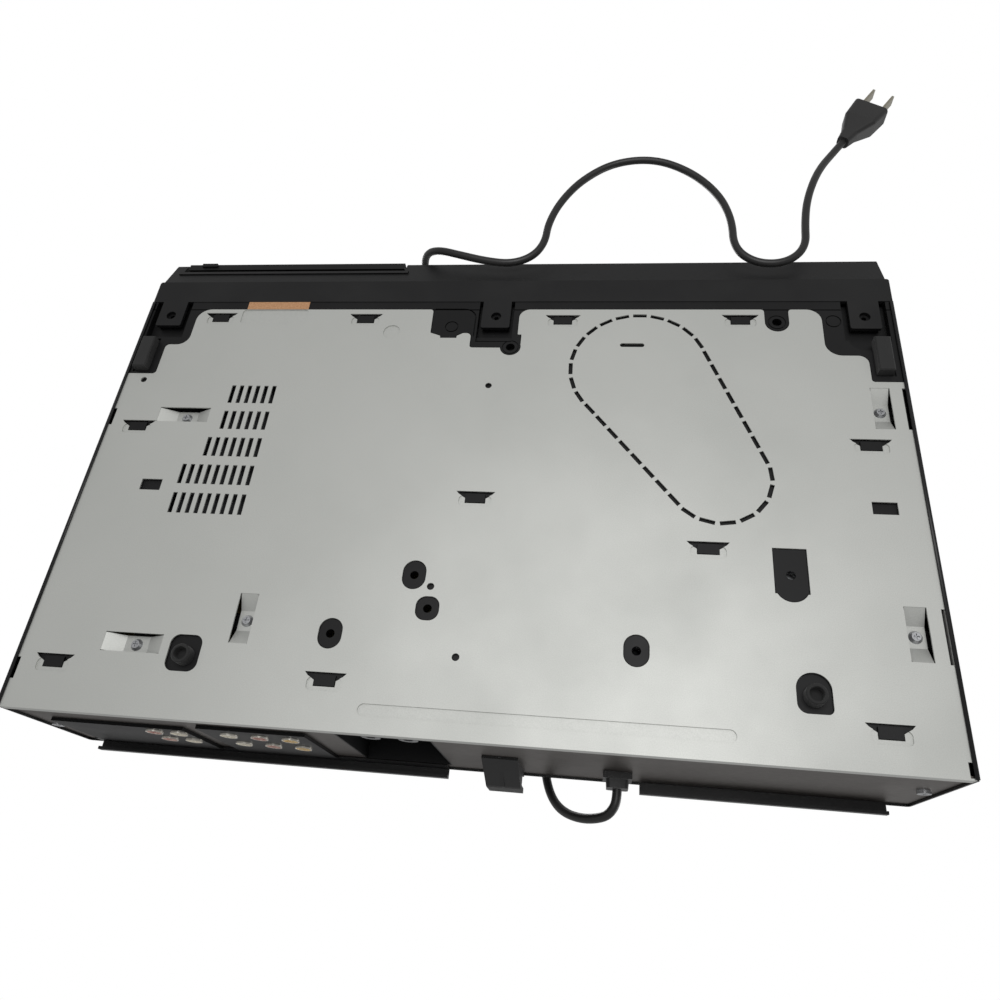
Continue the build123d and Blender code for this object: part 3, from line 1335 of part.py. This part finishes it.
def build():
    nodes["bottom_plate"] = bottom_plate()
    nodes["main_frame"] = main_frame()
    nodes["rear_feet"] = rear_feet()
    nodes["front_pads"] = rubber_pads()
    nodes["top_cover"] = top_cover()
    nodes["rear_panel"] = rear_panel()
    nodes["jack_blocks"] = jack_blocks()
    nodes["jack_shells"] = jack_shells()
    nodes["yellow_inserts"] = inserts([jack_columns_b[2]])
    nodes["red_inserts"] = inserts([jack_columns_a[0], jack_columns_b[1]])
    nodes["white_inserts"] = inserts([jack_columns_a[1], jack_columns_b[0]])
    nodes["aerial_block"] = aerial_block()
    nodes["strain_relief"] = strain_relief()
    nodes["cord_hook"] = cord_hook()
    nodes["front_panel"] = front_panel()
    nodes["display_window"] = display_window()
    nodes["tray_door"] = tray_door()
    nodes["cassette_door"] = cassette_door()
    for name in buttons:
        nodes[name] = push_button(name)
    nodes["front_board"] = front_board()
    nodes["disc_tray"] = disc_tray()
    nodes["tray_gear"] = tray_gear()
    nodes["motor_pinion"] = motor_pinion()
    nodes["dvd_frame"] = dvd_frame()
    nodes["traverse_deck"] = traverse_deck()
    nodes["lead_screw"] = lead_screw()
    nodes["pickup"] = pickup()
    nodes["turntable"] = turntable()
    nodes["clamp_bridge"] = clamp_bridge()
    nodes["disc_clamper"] = disc_clamper()
    nodes["deck_chassis"] = deck_chassis()
    nodes["drum_base"] = drum_base()
    nodes["drum_rotor"] = drum_rotor()
    nodes["capstan"] = capstan()
    nodes["clutch_pulley"] = clutch_pulley()
    nodes["reel_belt"] = reel_belt()
    nodes["supply_reel"] = reel_table(-1)
    nodes["takeup_reel"] = reel_table(1)
    nodes["pinch_arm"] = pinch_arm()
    nodes["pinch_roller"] = pinch_roller()
    nodes["cam_gear"] = cam_gear()
    nodes["motor_bodies"] = Compound([tray_motor(), spindle_motor(), capstan_motor(),
                                      loading_motor()])
    nodes["cassette_holder"] = cassette_holder()
    nodes["lift_frame"] = lift_frame()
    nodes["main_board"] = main_board()
    nodes["power_board"] = power_board()
    nodes["transformer"] = transformer()
    nodes["ground_foil"] = ground_foil()
    nodes["pocket_screws"] = pocket_screws()
    nodes["cover_screws"] = cover_screws()
    nodes["power_cord"] = power_cord()
    nodes["plug_body"] = plug_body()
    nodes["plug_blades"] = plug_blades()


build()
os.makedirs("parts", exist_ok=True)
for name, shape in nodes.items():
    export_step(shape, f"parts/{name}.step")
print(len(nodes), "nodes")
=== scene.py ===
import json
import math

import bpy
from mathutils import Matrix, Vector


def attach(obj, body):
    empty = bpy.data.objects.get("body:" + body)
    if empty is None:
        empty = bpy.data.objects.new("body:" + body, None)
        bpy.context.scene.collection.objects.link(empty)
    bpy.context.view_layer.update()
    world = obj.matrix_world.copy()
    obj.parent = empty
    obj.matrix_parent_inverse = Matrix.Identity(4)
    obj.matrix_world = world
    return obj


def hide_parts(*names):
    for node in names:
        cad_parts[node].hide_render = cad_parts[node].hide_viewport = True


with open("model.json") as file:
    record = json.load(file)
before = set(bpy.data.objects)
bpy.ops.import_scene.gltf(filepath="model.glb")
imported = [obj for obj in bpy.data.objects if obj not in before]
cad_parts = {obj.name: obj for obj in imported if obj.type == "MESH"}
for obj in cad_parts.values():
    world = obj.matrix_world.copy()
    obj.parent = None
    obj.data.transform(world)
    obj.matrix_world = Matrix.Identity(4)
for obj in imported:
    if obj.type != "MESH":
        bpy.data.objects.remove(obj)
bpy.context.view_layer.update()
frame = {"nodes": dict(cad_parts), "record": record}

MM = 0.001

# Sizes of the surface patterns, in millimetres
HANDLED_MM = 70     # patches of a moulding that hands have dulled
CLOUD_MM = 90       # clouds across a rolled sheet
BLOOM_MM = 25       # bloom on rubber
PART_MM = 14        # components on a circuit board
TRACK_MM = 2.2      # tracks on a circuit board
TRACK_COLOUR = "#7D8A5A"
CAN_SHARE = 0.62    # cells above this value are metal cans
RING_SCALE = 6.28   # with it the rings lie about two ring_mm apart
PLASTIC_IOR = 1.52


def deselect():
    bpy.ops.object.select_all(action="DESELECT")


# ---- colours and nodes ------------------------------------------------------
def linear(code):
    """An sRGB hex colour as the linear values that a shader takes."""
    values = [int(code[i:i + 2], 16) / 255 for i in (1, 3, 5)]
    return [v / 12.92 if v <= 0.04045 else ((v + 0.055) / 1.055) ** 2.4 for v in values] + [1.0]


def add(tree, kind, settings=None, links=None):
    """A node with its settings and the sockets that feed it."""
    node = tree.nodes.new(kind)
    for key, value in (settings or {}).items():
        if isinstance(key, str) and hasattr(node, key):
            setattr(node, key, value)
        else:
            node.inputs[key].default_value = value
    for key, source in (links or {}).items():
        tree.links.new(source, node.inputs[key])
    return node


def material(name, settings):
    """A material with one shader, and the tree that its pattern nodes go in."""
    made = bpy.data.materials.new(name)
    made.use_nodes = True
    tree = made.node_tree
    tree.nodes.clear()
    shader = add(tree, "ShaderNodeBsdfPrincipled", settings)
    add(tree, "ShaderNodeOutputMaterial", None, {"Surface": shader.outputs["BSDF"]})
    place = add(tree, "ShaderNodeTexCoord").outputs["Object"]
    return made, tree, shader, place


def blend_colours(tree, amount, first, second):
    """Two colours mixed by an amount. Each is a hex colour or the socket of another node."""
    mix = add(tree, "ShaderNodeMix", {"data_type": "RGBA"}, {0: amount})
    for socket, value in ((mix.inputs[6], first), (mix.inputs[7], second)):
        if isinstance(value, str):
            socket.default_value = linear(value)
        else:
            tree.links.new(value, socket)
    return mix.outputs[2]


def spread(tree, value, low, high, to_low, to_high):
    """A pattern's value, taken from one range to another."""
    ranged = add(tree, "ShaderNodeMapRange",
                 {"From Min": low, "From Max": high, "To Min": to_low, "To Max": to_high},
                 {"Value": value})
    return ranged.outputs["Result"]


def relief(tree, shader, height, depth_mm):
    """A bump of the given depth, driven by a pattern."""
    bump = add(tree, "ShaderNodeBump", {"Strength": 1.0, "Distance": depth_mm * MM},
               {"Height": height})
    tree.links.new(bump.outputs["Normal"], shader.inputs["Normal"])


def moulded(name, colour, worn, roughness, grain_mm, depth_mm, coat=0.0, shine=0.3):
    """ABS and its like from a spark-eroded mould: an even grain, duller where it was handled.

    The real grain is a tenth of a millimetre or less. It is drawn coarser, so that it shows.
    """
    made, tree, shader, place = material(name, {"IOR": PLASTIC_IOR, "Coat Weight": coat,
                                                "Coat Roughness": 0.2,
                                                "Specular IOR Level": shine})
    grain = add(tree, "ShaderNodeTexNoise", {"Scale": 1 / (grain_mm * MM), "Detail": 2.0,
                                             "Roughness": 0.6}, {"Vector": place})
    patches = add(tree, "ShaderNodeTexNoise", {"Scale": 1 / (HANDLED_MM * MM), "Detail": 4.0,
                                               "Roughness": 0.65}, {"Vector": place})
    dull = spread(tree, patches.outputs["Fac"], 0.42, 0.68, 0.0, 0.75)
    tree.links.new(blend_colours(tree, dull, colour, worn), shader.inputs["Base Color"])
    rough = spread(tree, patches.outputs["Fac"], 0.3, 0.7, roughness - 0.05, roughness + 0.09)
    tree.links.new(rough, shader.inputs["Roughness"])
    relief(tree, shader, grain.outputs["Fac"], depth_mm)
    return made


def rolled(name, colour, shade, roughness, grain_mm, depth_mm, stretch=(1, 1, 1), metallic=1.0,
           speckle=0.8):
    """Rolled or plated sheet: fine grains, drawn out along the rolling direction by stretch.

    Patches of the shade cloud it. Its grains too are drawn coarser than the real ones.
    """
    made, tree, shader, place = material(name, {"Metallic": metallic})
    drawn = add(tree, "ShaderNodeMapping", {"vector_type": "POINT", "Scale": stretch},
                {"Vector": place})
    grain = add(tree, "ShaderNodeTexNoise", {"Scale": 1 / (grain_mm * MM), "Detail": 3.0,
                                             "Roughness": 0.62}, {"Vector": drawn.outputs[0]})
    cloud = add(tree, "ShaderNodeTexNoise", {"Scale": 1 / (CLOUD_MM * MM), "Detail": 5.0,
                                             "Roughness": 0.55}, {"Vector": place})
    tone = spread(tree, grain.outputs["Fac"], 0.36, 0.66, 0.0, speckle)
    fine = blend_colours(tree, tone, colour, shade)
    cloudy = spread(tree, cloud.outputs["Fac"], 0.4, 0.75, 0.0, 0.35)
    tree.links.new(blend_colours(tree, cloudy, fine, shade), shader.inputs["Base Color"])
    rough = spread(tree, cloud.outputs["Fac"], 0.3, 0.7, roughness - 0.04, roughness + 0.06)
    tree.links.new(rough, shader.inputs["Roughness"])
    relief(tree, shader, grain.outputs["Fac"], depth_mm)
    return made


def rubbery(name, colour, worn, roughness, grain_mm, depth_mm):
    """Moulded rubber or soft vinyl: dull, with a faint bloom in patches."""
    made, tree, shader, place = material(name, {"IOR": PLASTIC_IOR, "Sheen Weight": 0.12,
                                                "Sheen Roughness": 0.5})
    grain = add(tree, "ShaderNodeTexNoise", {"Scale": 1 / (grain_mm * MM), "Detail": 3.0},
                {"Vector": place})
    bloom = add(tree, "ShaderNodeTexNoise", {"Scale": 1 / (BLOOM_MM * MM), "Detail": 3.0},
                {"Vector": place})
    dull = spread(tree, bloom.outputs["Fac"], 0.45, 0.7, 0.0, 0.8)
    tree.links.new(blend_colours(tree, dull, colour, worn), shader.inputs["Base Color"])
    rough = spread(tree, bloom.outputs["Fac"], 0.3, 0.7, roughness - 0.06, roughness + 0.08)
    tree.links.new(rough, shader.inputs["Roughness"])
    relief(tree, shader, grain.outputs["Fac"], depth_mm)
    return made


def turned(name, colour, shade, roughness, ring_mm):
    """Turned and polished alloy: fine rings round an upright axis show as bands."""
    made, tree, shader, place = material(name, {"Metallic": 1.0})
    rings = add(tree, "ShaderNodeTexWave", {"bands_direction": "Z",
                                            "Scale": 1 / (ring_mm * MM) / RING_SCALE,
                                            "Distortion": 0.4, "Detail": 2.0}, {"Vector": place})
    tone = spread(tree, rings.outputs["Fac"], 0.0, 1.0, 0.0, 0.6)
    tree.links.new(blend_colours(tree, tone, colour, shade), shader.inputs["Base Color"])
    tree.links.new(spread(tree, rings.outputs["Fac"], 0.0, 1.0, roughness, roughness + 0.1),
                   shader.inputs["Roughness"])
    relief(tree, shader, rings.outputs["Fac"], 0.01)
    return made


def laminate(name, face, parts, metal_can, face_z):
    """Circuit laminate: resin-bonded board below face_z, dark moulded components above it."""
    made, tree, shader, place = material(name, {"IOR": 1.5})
    height = add(tree, "ShaderNodeSeparateXYZ", None, {"Vector": place}).outputs["Z"]
    above = add(tree, "ShaderNodeMath", {"operation": "GREATER_THAN", 1: face_z}, {0: height})
    cells = add(tree, "ShaderNodeTexVoronoi", {"Scale": 1 / (PART_MM * MM)}, {"Vector": place})
    tracks = add(tree, "ShaderNodeTexNoise", {"Scale": 1 / (TRACK_MM * MM), "Detail": 1.0},
                 {"Vector": place})
    mask = spread(tree, tracks.outputs["Fac"], 0.5, 0.52, 0.0, 0.35)
    board = blend_colours(tree, mask, face, TRACK_COLOUR)
    kind = add(tree, "ShaderNodeMath", {"operation": "GREATER_THAN", 1: CAN_SHARE},
               {0: cells.outputs["Color"]})
    chip = blend_colours(tree, kind.outputs[0], parts, metal_can)
    tree.links.new(blend_colours(tree, above.outputs[0], board, chip), shader.inputs["Base Color"])
    tree.links.new(spread(tree, tracks.outputs["Fac"], 0.3, 0.7, 0.4, 0.6),
                   shader.inputs["Roughness"])
    relief(tree, shader, tracks.outputs["Fac"], 0.05)
    return made


BOARD_FACE = 20.2 * MM      # just above the upper face of the main and power boards

finishes = {
    # hot-dip zinc on steel sheet: pale grey, matt, with a sand-fine sparkle
    "zinc_sheet": rolled("Galvanised sheet", "#C3C4C0", "#A6A8A4", 0.46, 0.4, 0.01,
                         metallic=0.45, speckle=0.5),
    # baked enamel on sheet: black, a low satin gloss and slight orange peel
    "black_paint": moulded("Baked enamel", "#0D0D0E", "#151516", 0.38, 1.2, 0.02, coat=0.15),
    # polystyrene chassis: black, from an unpolished mould
    "black_plastic": moulded("Moulded polystyrene", "#0B0B0C", "#131314", 0.45, 0.5, 0.03,
                             shine=0.25),
    # nitrile rubber: dull black
    "foot_rubber": rubbery("Foot rubber", "#0E0E0E", "#1C1C1C", 0.72, 0.4, 0.03),
    # cold-rolled steel, thinly plated: mid grey with drawn lines along X; both tones darkened as
    # painted shade and painted dark reflection for the rear wall
    "rear_steel": rolled("Cold-rolled steel darkened as painted shade", "#6A6561", "#4E4A47", 0.42, 0.5, 0.02,
                         stretch=(0.12, 1, 1)),
    # ABS housing: black, low gloss
    "jack_plastic": moulded("Jack housing ABS", "#0B0B0C", "#121213", 0.42, 0.5, 0.02,
                            shine=0.2),
    # bright nickel on turned brass
    "jack_nickel": rolled("Bright nickel", "#F0ECE2", "#D2CCC0", 0.25, 1.2, 0.005,
                          metallic=0.6),
    # gloss-moulded inserts in the three colours of sound and picture sockets
    "yellow_plastic": moulded("Yellow insert ABS", "#E0B428", "#CDA01C", 0.3, 1.5, 0.01),
    "red_plastic": moulded("Red insert ABS", "#A82430", "#941C26", 0.3, 1.5, 0.01),
    "white_plastic": moulded("White insert ABS", "#E6E4DC", "#D6D3CA", 0.3, 1.5, 0.01),
    # tin-plated casting round the aerial sockets
    "aerial_metal": rolled("Tinned casting", "#A9AAAB", "#8B8C8D", 0.36, 0.8, 0.02),
    # soft vinyl sleeve: black, with a slight shine
    "relief_plastic": rubbery("Strain relief vinyl", "#0B0B0B", "#161616", 0.5, 0.6, 0.02),
    # moulded nylon: black, from a fine-grained mould
    "hook_plastic": moulded("Cord hook nylon", "#0E0E0F", "#171718", 0.45, 0.5, 0.02),
    # high-impact polystyrene front: black, fine grain
    "front_plastic": moulded("Front panel polystyrene", "#111112", "#1B1B1B", 0.45, 0.45, 0.03),
    # smoked acrylic: nearly black, polished
    "smoked_glass": moulded("Smoked acrylic", "#06070A", "#0A0B0D", 0.1, 3.0, 0.002, coat=0.6),
    # the two doors: black like the panel, a touch glossier
    "door_plastic": moulded("Tray door polystyrene", "#0E0E0F", "#161617", 0.42, 0.45, 0.02),
    "flap_plastic": moulded("Cassette door polystyrene", "#0E0E0F", "#161617", 0.4, 0.45, 0.02),
    # painted ABS keys: satin silver
    "button_plastic": moulded("Silver-painted ABS", "#9FA2A5", "#8E9194", 0.35, 0.3, 0.008),
    # resin-bonded paper: brown, with paler tracks, black chips and grey cans
    "board_laminate": laminate("Paper-phenolic board", "#6A5A2E", "#151515", "#8C8E90",
                               BOARD_FACE),
    # moulded ABS: dark grey, even and matt
    "tray_plastic": moulded("Disc tray ABS", "#17181A", "#202123", 0.46, 0.5, 0.02),
    # acetal gears: off-white, waxy
    "gear_plastic": moulded("Acetal", "#D2D0C6", "#BDBBB0", 0.38, 0.8, 0.01),
    # polystyrene loader parts: dark grey, the dullest of the mouldings
    "inner_plastic": moulded("Loader polystyrene", "#1D1E20", "#28292B", 0.5, 0.5, 0.02),
    # zinc-plated steel: pale grey, with drawn lines along Y
    "deck_steel": rolled("Zinc-plated steel", "#A9ACAE", "#878A8D", 0.38, 0.6, 0.02,
                         stretch=(1, 0.15, 1)),
    # ground rod: bright and smooth
    "shaft_steel": turned("Ground steel", "#C4C6C9", "#9C9EA1", 0.2, 0.6),
    # zinc die casting: dull grey, with a rough skin
    "pickup_cast": rolled("Die-cast zinc", "#85878A", "#66686B", 0.5, 0.9, 0.04),
    # drawn steel can: mid grey, smooth
    "motor_steel": rolled("Motor can steel", "#A2A4A7", "#808285", 0.3, 0.8, 0.02),
    # aluminium off the lathe: pale and polished, finely ringed
    "drum_alloy": turned("Turned aluminium", "#CBCDD0", "#A2A4A7", 0.16, 0.5),
    # synthetic rubber: dull black
    "belt_rubber": rubbery("Belt rubber", "#0C0C0C", "#181818", 0.65, 0.5, 0.02),
    # acetal reels: off-white, waxy
    "reel_plastic": moulded("Reel acetal", "#D9D7CE", "#C4C2B8", 0.4, 0.8, 0.01),
    # film tape round the winding: amber, smooth
    "transformer_tape": moulded("Polyester tape", "#B48E1C", "#96761A", 0.35, 2.0, 0.02),
    # copper foil, tarnished to a pinkish brown
    "copper_foil": rolled("Tarnished copper foil", "#D9AC84", "#BA8862", 0.5, 1.0, 0.04,
                          metallic=0.7),
    # blued zinc plate on small screws
    "screw_steel": rolled("Plated screw steel", "#C6C7C9", "#8F9194", 0.28, 0.4, 0.02,
                          metallic=0.7),
    # moulded vinyl: black, with a low shine
    "plug_rubber": rubbery("Plug vinyl", "#0C0B0B", "#171616", 0.5, 0.7, 0.03),
    # nickel on brass blades: pale straw, smooth
    "blade_brass": rolled("Nickel-plated brass", "#C9C4B4", "#A39D8A", 0.25, 0.9, 0.01),
    # extruded vinyl: black satin
    "cord_rubber": rubbery("Cord vinyl", "#0B0A0A", "#151413", 0.42, 1.6, 0.02),
}

slot_of = {part["node"]: part["material_slot"] for part in frame["record"]["subparts"]}
for node_name, node_object in frame["nodes"].items():
    finish = finishes[slot_of[node_name]]
    if not node_object.material_slots:
        node_object.data.materials.append(finish)
    for holder in node_object.material_slots:
        holder.material = finish


# ---- hem of the cover -------------------------------------------------------
def node_box(name):
    """Corners of a CAD node's box, in metres."""
    shape = frame["nodes"][name]
    spots = [shape.matrix_world @ vertex.co for vertex in shape.data.vertices]
    low = Vector([min(spot[axis] for spot in spots) for axis in range(3)])
    high = Vector([max(spot[axis] for spot in spots) for axis in range(3)])
    return low, high


# In millimetres
HEM_WIDTH = 1.9
HEM_THICK = 0.8
HEM_INSET = 0.3     # from the cover's front end
HEM_GAP = 0.1       # under the plate
PLATE_DEPTH = 242


def make_hem(side):
    """Rolled lower edge of one side of the cover: a flattened bead along the plate's edge."""
    cover_low, cover_high = node_box("top_cover")
    plate_low = node_box("bottom_plate")[0]
    deselect()
    bpy.ops.mesh.primitive_cylinder_add(vertices=20, radius=1.0, depth=1.0,
                                        rotation=(math.radians(90), 0, 0))
    hem = bpy.context.object
    hem.name = "cover_hem_left" if side < 0 else "cover_hem_right"
    bpy.ops.object.transform_apply(location=False, rotation=True, scale=False)
    start = cover_low.y + HEM_INSET * MM
    end = plate_low.y + PLATE_DEPTH * MM
    edge = cover_high.x if side > 0 else cover_low.x
    middle = Vector((edge - side * HEM_WIDTH / 2 * MM, (start + end) / 2,
                     plate_low.z - (HEM_THICK / 2 + HEM_GAP) * MM))
    reach = Vector((HEM_WIDTH / 2 * MM, end - start, HEM_THICK / 2 * MM))
    for vertex in hem.data.vertices:
        corner = Vector((vertex.co.x * reach.x, vertex.co.y * reach.y, vertex.co.z * reach.z))
        vertex.co = corner + middle
    deselect()
    hem.select_set(True)
    bpy.context.view_layer.objects.active = hem
    bpy.ops.object.shade_smooth()
    hem.data.materials.append(finishes["black_paint"])
    return hem


for side in (-1, 1):
    hem = make_hem(side)
    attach(hem, "case")


# ---- mains lead -------------------------------------------------------------
# In millimetres, the same points as those of the CAD lead
lead_points = [
    (75, 145, 62), (75, 150.4, 62), (72.7, 155, 63.5), (68.9, 157.8, 65.9), (59.6, 158.6, 72),
    (50.6, 156, 79.2), (44.3, 150.6, 86), (40, 142.2, 90.8), (37.6, 131, 90.8), (37, 115, 86.6),
    (44, 99, 85.6), (66, 82, 85.6), (93, 72, 85.6), (112, 52, 85.6), (109, 27, 85.6),
    (84, 12, 85.6), (54, 8, 85.6),
    (22, 0, 85.6), (-12, -8, 85.6), (-42, -24, 85.6), (-62, -48, 85.6), (-69, -78, 85.8),
    (-66, -108, 87.5), (-61, -137, 94.5), (-58, -157, 86), (-57, -161, 66),
    (-56.5, -160, 45), (-55.5, -158, 26), (-51, -155, 11.5), (-41.5, -150, 3.6),
    (-27, -144.5, 2.6), (-11, -139.5, 2.6), (4.5, -137, 2.6), (17, -142.5, 2.6),
    (23.5, -154, 2.6), (24.5, -170, 2.6), (31, -189, 2.6), (43.5, -208, 2.6),
    (63, -223, 2.6), (88, -225.5, 2.6), (110, -213, 2.6), (126, -193, 2.6),
    (133, -171, 2.6), (133, -147.5, 2.6), (144.8, -135.8, 2.6), (161.2, -135.8, 2.6),
    (173, -147.5, 2.6), (174, -167, 2.6), (176.5, -185, 2.6), (182, -203, 2.6),
    (188.5, -217.5, 4.2), (196, -230, 6.4), (203.5, -241, 6.4)]
LEAD_RADIUS = 2.25


def make_lead():
    """The lead: one smooth tube led by its points, from the strain relief to the plug."""
    curve = bpy.data.curves.new("lead", "CURVE")
    curve.dimensions = "3D"
    curve.bevel_depth = LEAD_RADIUS * MM
    curve.bevel_resolution = 5
    curve.resolution_u = 10
    curve.use_fill_caps = True
    spline = curve.splines.new("NURBS")
    spline.points.add(len(lead_points) - 1)
    for point, (x, y, z) in zip(spline.points, lead_points):
        point.co = (x * MM, y * MM, z * MM, 1.0)
    spline.order_u = 3
    spline.use_endpoint_u = True
    lead = bpy.data.objects.new("lead", curve)
    bpy.context.collection.objects.link(lead)
    curve.materials.append(finishes["cord_rubber"])
    return lead


lead = make_lead()
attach(lead, "case")
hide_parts("power_cord")


# ---- floor, light and camera ------------------------------------------------
FLOOR_SIZE = 6.0
FLOOR_DROP = 0.2 * MM


def make_floor():
    """A pale floor that only the camera sees, and only from above."""
    deselect()
    bpy.ops.mesh.primitive_plane_add(size=FLOOR_SIZE, location=(0, 0, -FLOOR_DROP))
    floor = bpy.context.object
    floor.name = "floor"
    made = bpy.data.materials.new("Pale floor")
    made.use_nodes = True
    tree = made.node_tree
    tree.nodes.clear()
    rays = add(tree, "ShaderNodeLightPath")
    side = add(tree, "ShaderNodeNewGeometry")
    front = add(tree, "ShaderNodeMath", {"operation": "SUBTRACT", 0: 1.0},
                {1: side.outputs["Backfacing"]})
    shown = add(tree, "ShaderNodeMath", {"operation": "MULTIPLY"},
                {0: rays.outputs["Is Camera Ray"], 1: front.outputs[0]})
    clear = add(tree, "ShaderNodeBsdfTransparent")
    matt = add(tree, "ShaderNodeBsdfDiffuse", {"Color": linear("#F4F4F3")})
    mix = add(tree, "ShaderNodeMixShader", None, {0: shown.outputs[0], 1: clear.outputs[0],
                                                  2: matt.outputs[0]})
    add(tree, "ShaderNodeOutputMaterial", None, {"Surface": mix.outputs[0]})
    floor.data.materials.append(made)


def make_world():
    """White for the camera, a dimmer white for the light and a dimmer one still in reflections."""
    world = bpy.data.worlds.new("studio")
    bpy.context.scene.world = world
    world.use_nodes = True
    tree = world.node_tree
    tree.nodes.clear()
    rays = add(tree, "ShaderNodeLightPath")
    seen = add(tree, "ShaderNodeMath", {"operation": "MAXIMUM"},
               {0: rays.outputs["Is Camera Ray"], 1: rays.outputs["Is Transmission Ray"]})
    backdrop = add(tree, "ShaderNodeBackground", {"Color": (1, 1, 1, 1), "Strength": 1.0})
    gloss = add(tree, "ShaderNodeBackground", {"Color": (1, 1, 1, 1), "Strength": 0.4})
    fill = add(tree, "ShaderNodeBackground", {"Color": (1, 1, 1, 1), "Strength": 0.55})
    soft = add(tree, "ShaderNodeMixShader", None, {0: rays.outputs["Is Glossy Ray"],
                                                   1: fill.outputs[0], 2: gloss.outputs[0]})
    both = add(tree, "ShaderNodeMixShader", None, {0: seen.outputs[0], 1: soft.outputs[0],
                                                   2: backdrop.outputs[0]})
    add(tree, "ShaderNodeOutputWorld", None, {"Surface": both.outputs[0]})


def make_lamp(name, place, target, size, power):
    """A square lamp, hidden from the camera and turned towards its target."""
    lamp = bpy.data.lights.new(name, "AREA")
    lamp.shape = "SQUARE"
    lamp.size = size
    lamp.energy = power
    holder = bpy.data.objects.new(name, lamp)
    bpy.context.collection.objects.link(holder)
    holder.location = place
    holder.rotation_euler = (Vector(target) - Vector(place)).to_track_quat("-Z", "Y").to_euler()
    holder.visible_camera = False


# The camera that was fitted to the corners of the base plate. It looks from under the
# object, which lies on its top in the picture.
EYE_PLACE = (0.06604, 0.20223, -0.33808)
EYE_RIGHT = (0.99007, -0.09371, 0.10474)
EYE_DOWN = (0.03341, 0.88082, 0.47227)
EYE_AHEAD = (-0.13652, -0.46408, 0.87521)
SENSOR_MM = 36.0
LENS_MM = 28.18
NEAREST = 0.01      # in metres


def make_camera():
    camera = bpy.data.cameras.new("camera")
    camera.sensor_width = SENSOR_MM
    camera.lens = LENS_MM
    camera.clip_start = NEAREST
    eye = bpy.data.objects.new("camera", camera)
    bpy.context.collection.objects.link(eye)
    turn = Matrix((Vector(EYE_RIGHT), -Vector(EYE_DOWN), -Vector(EYE_AHEAD))).transposed()
    eye.matrix_world = Matrix.Translation(EYE_PLACE) @ turn.to_4x4()
    bpy.context.scene.camera = eye


make_floor()
make_world()
make_lamp("key", (-0.9, -1.2, 1.5), (0, 0, 0.04), 1.0, 16)
make_lamp("side", (1.3, 0.5, 0.9), (0, 0, 0.04), 0.8, 7)
make_lamp("under", (0.1, -0.1, -1.4), (0.0, 0.0, 0.0), 0.9, 8.6)
make_camera()
bpy.context.scene.view_settings.view_transform = "Standard"
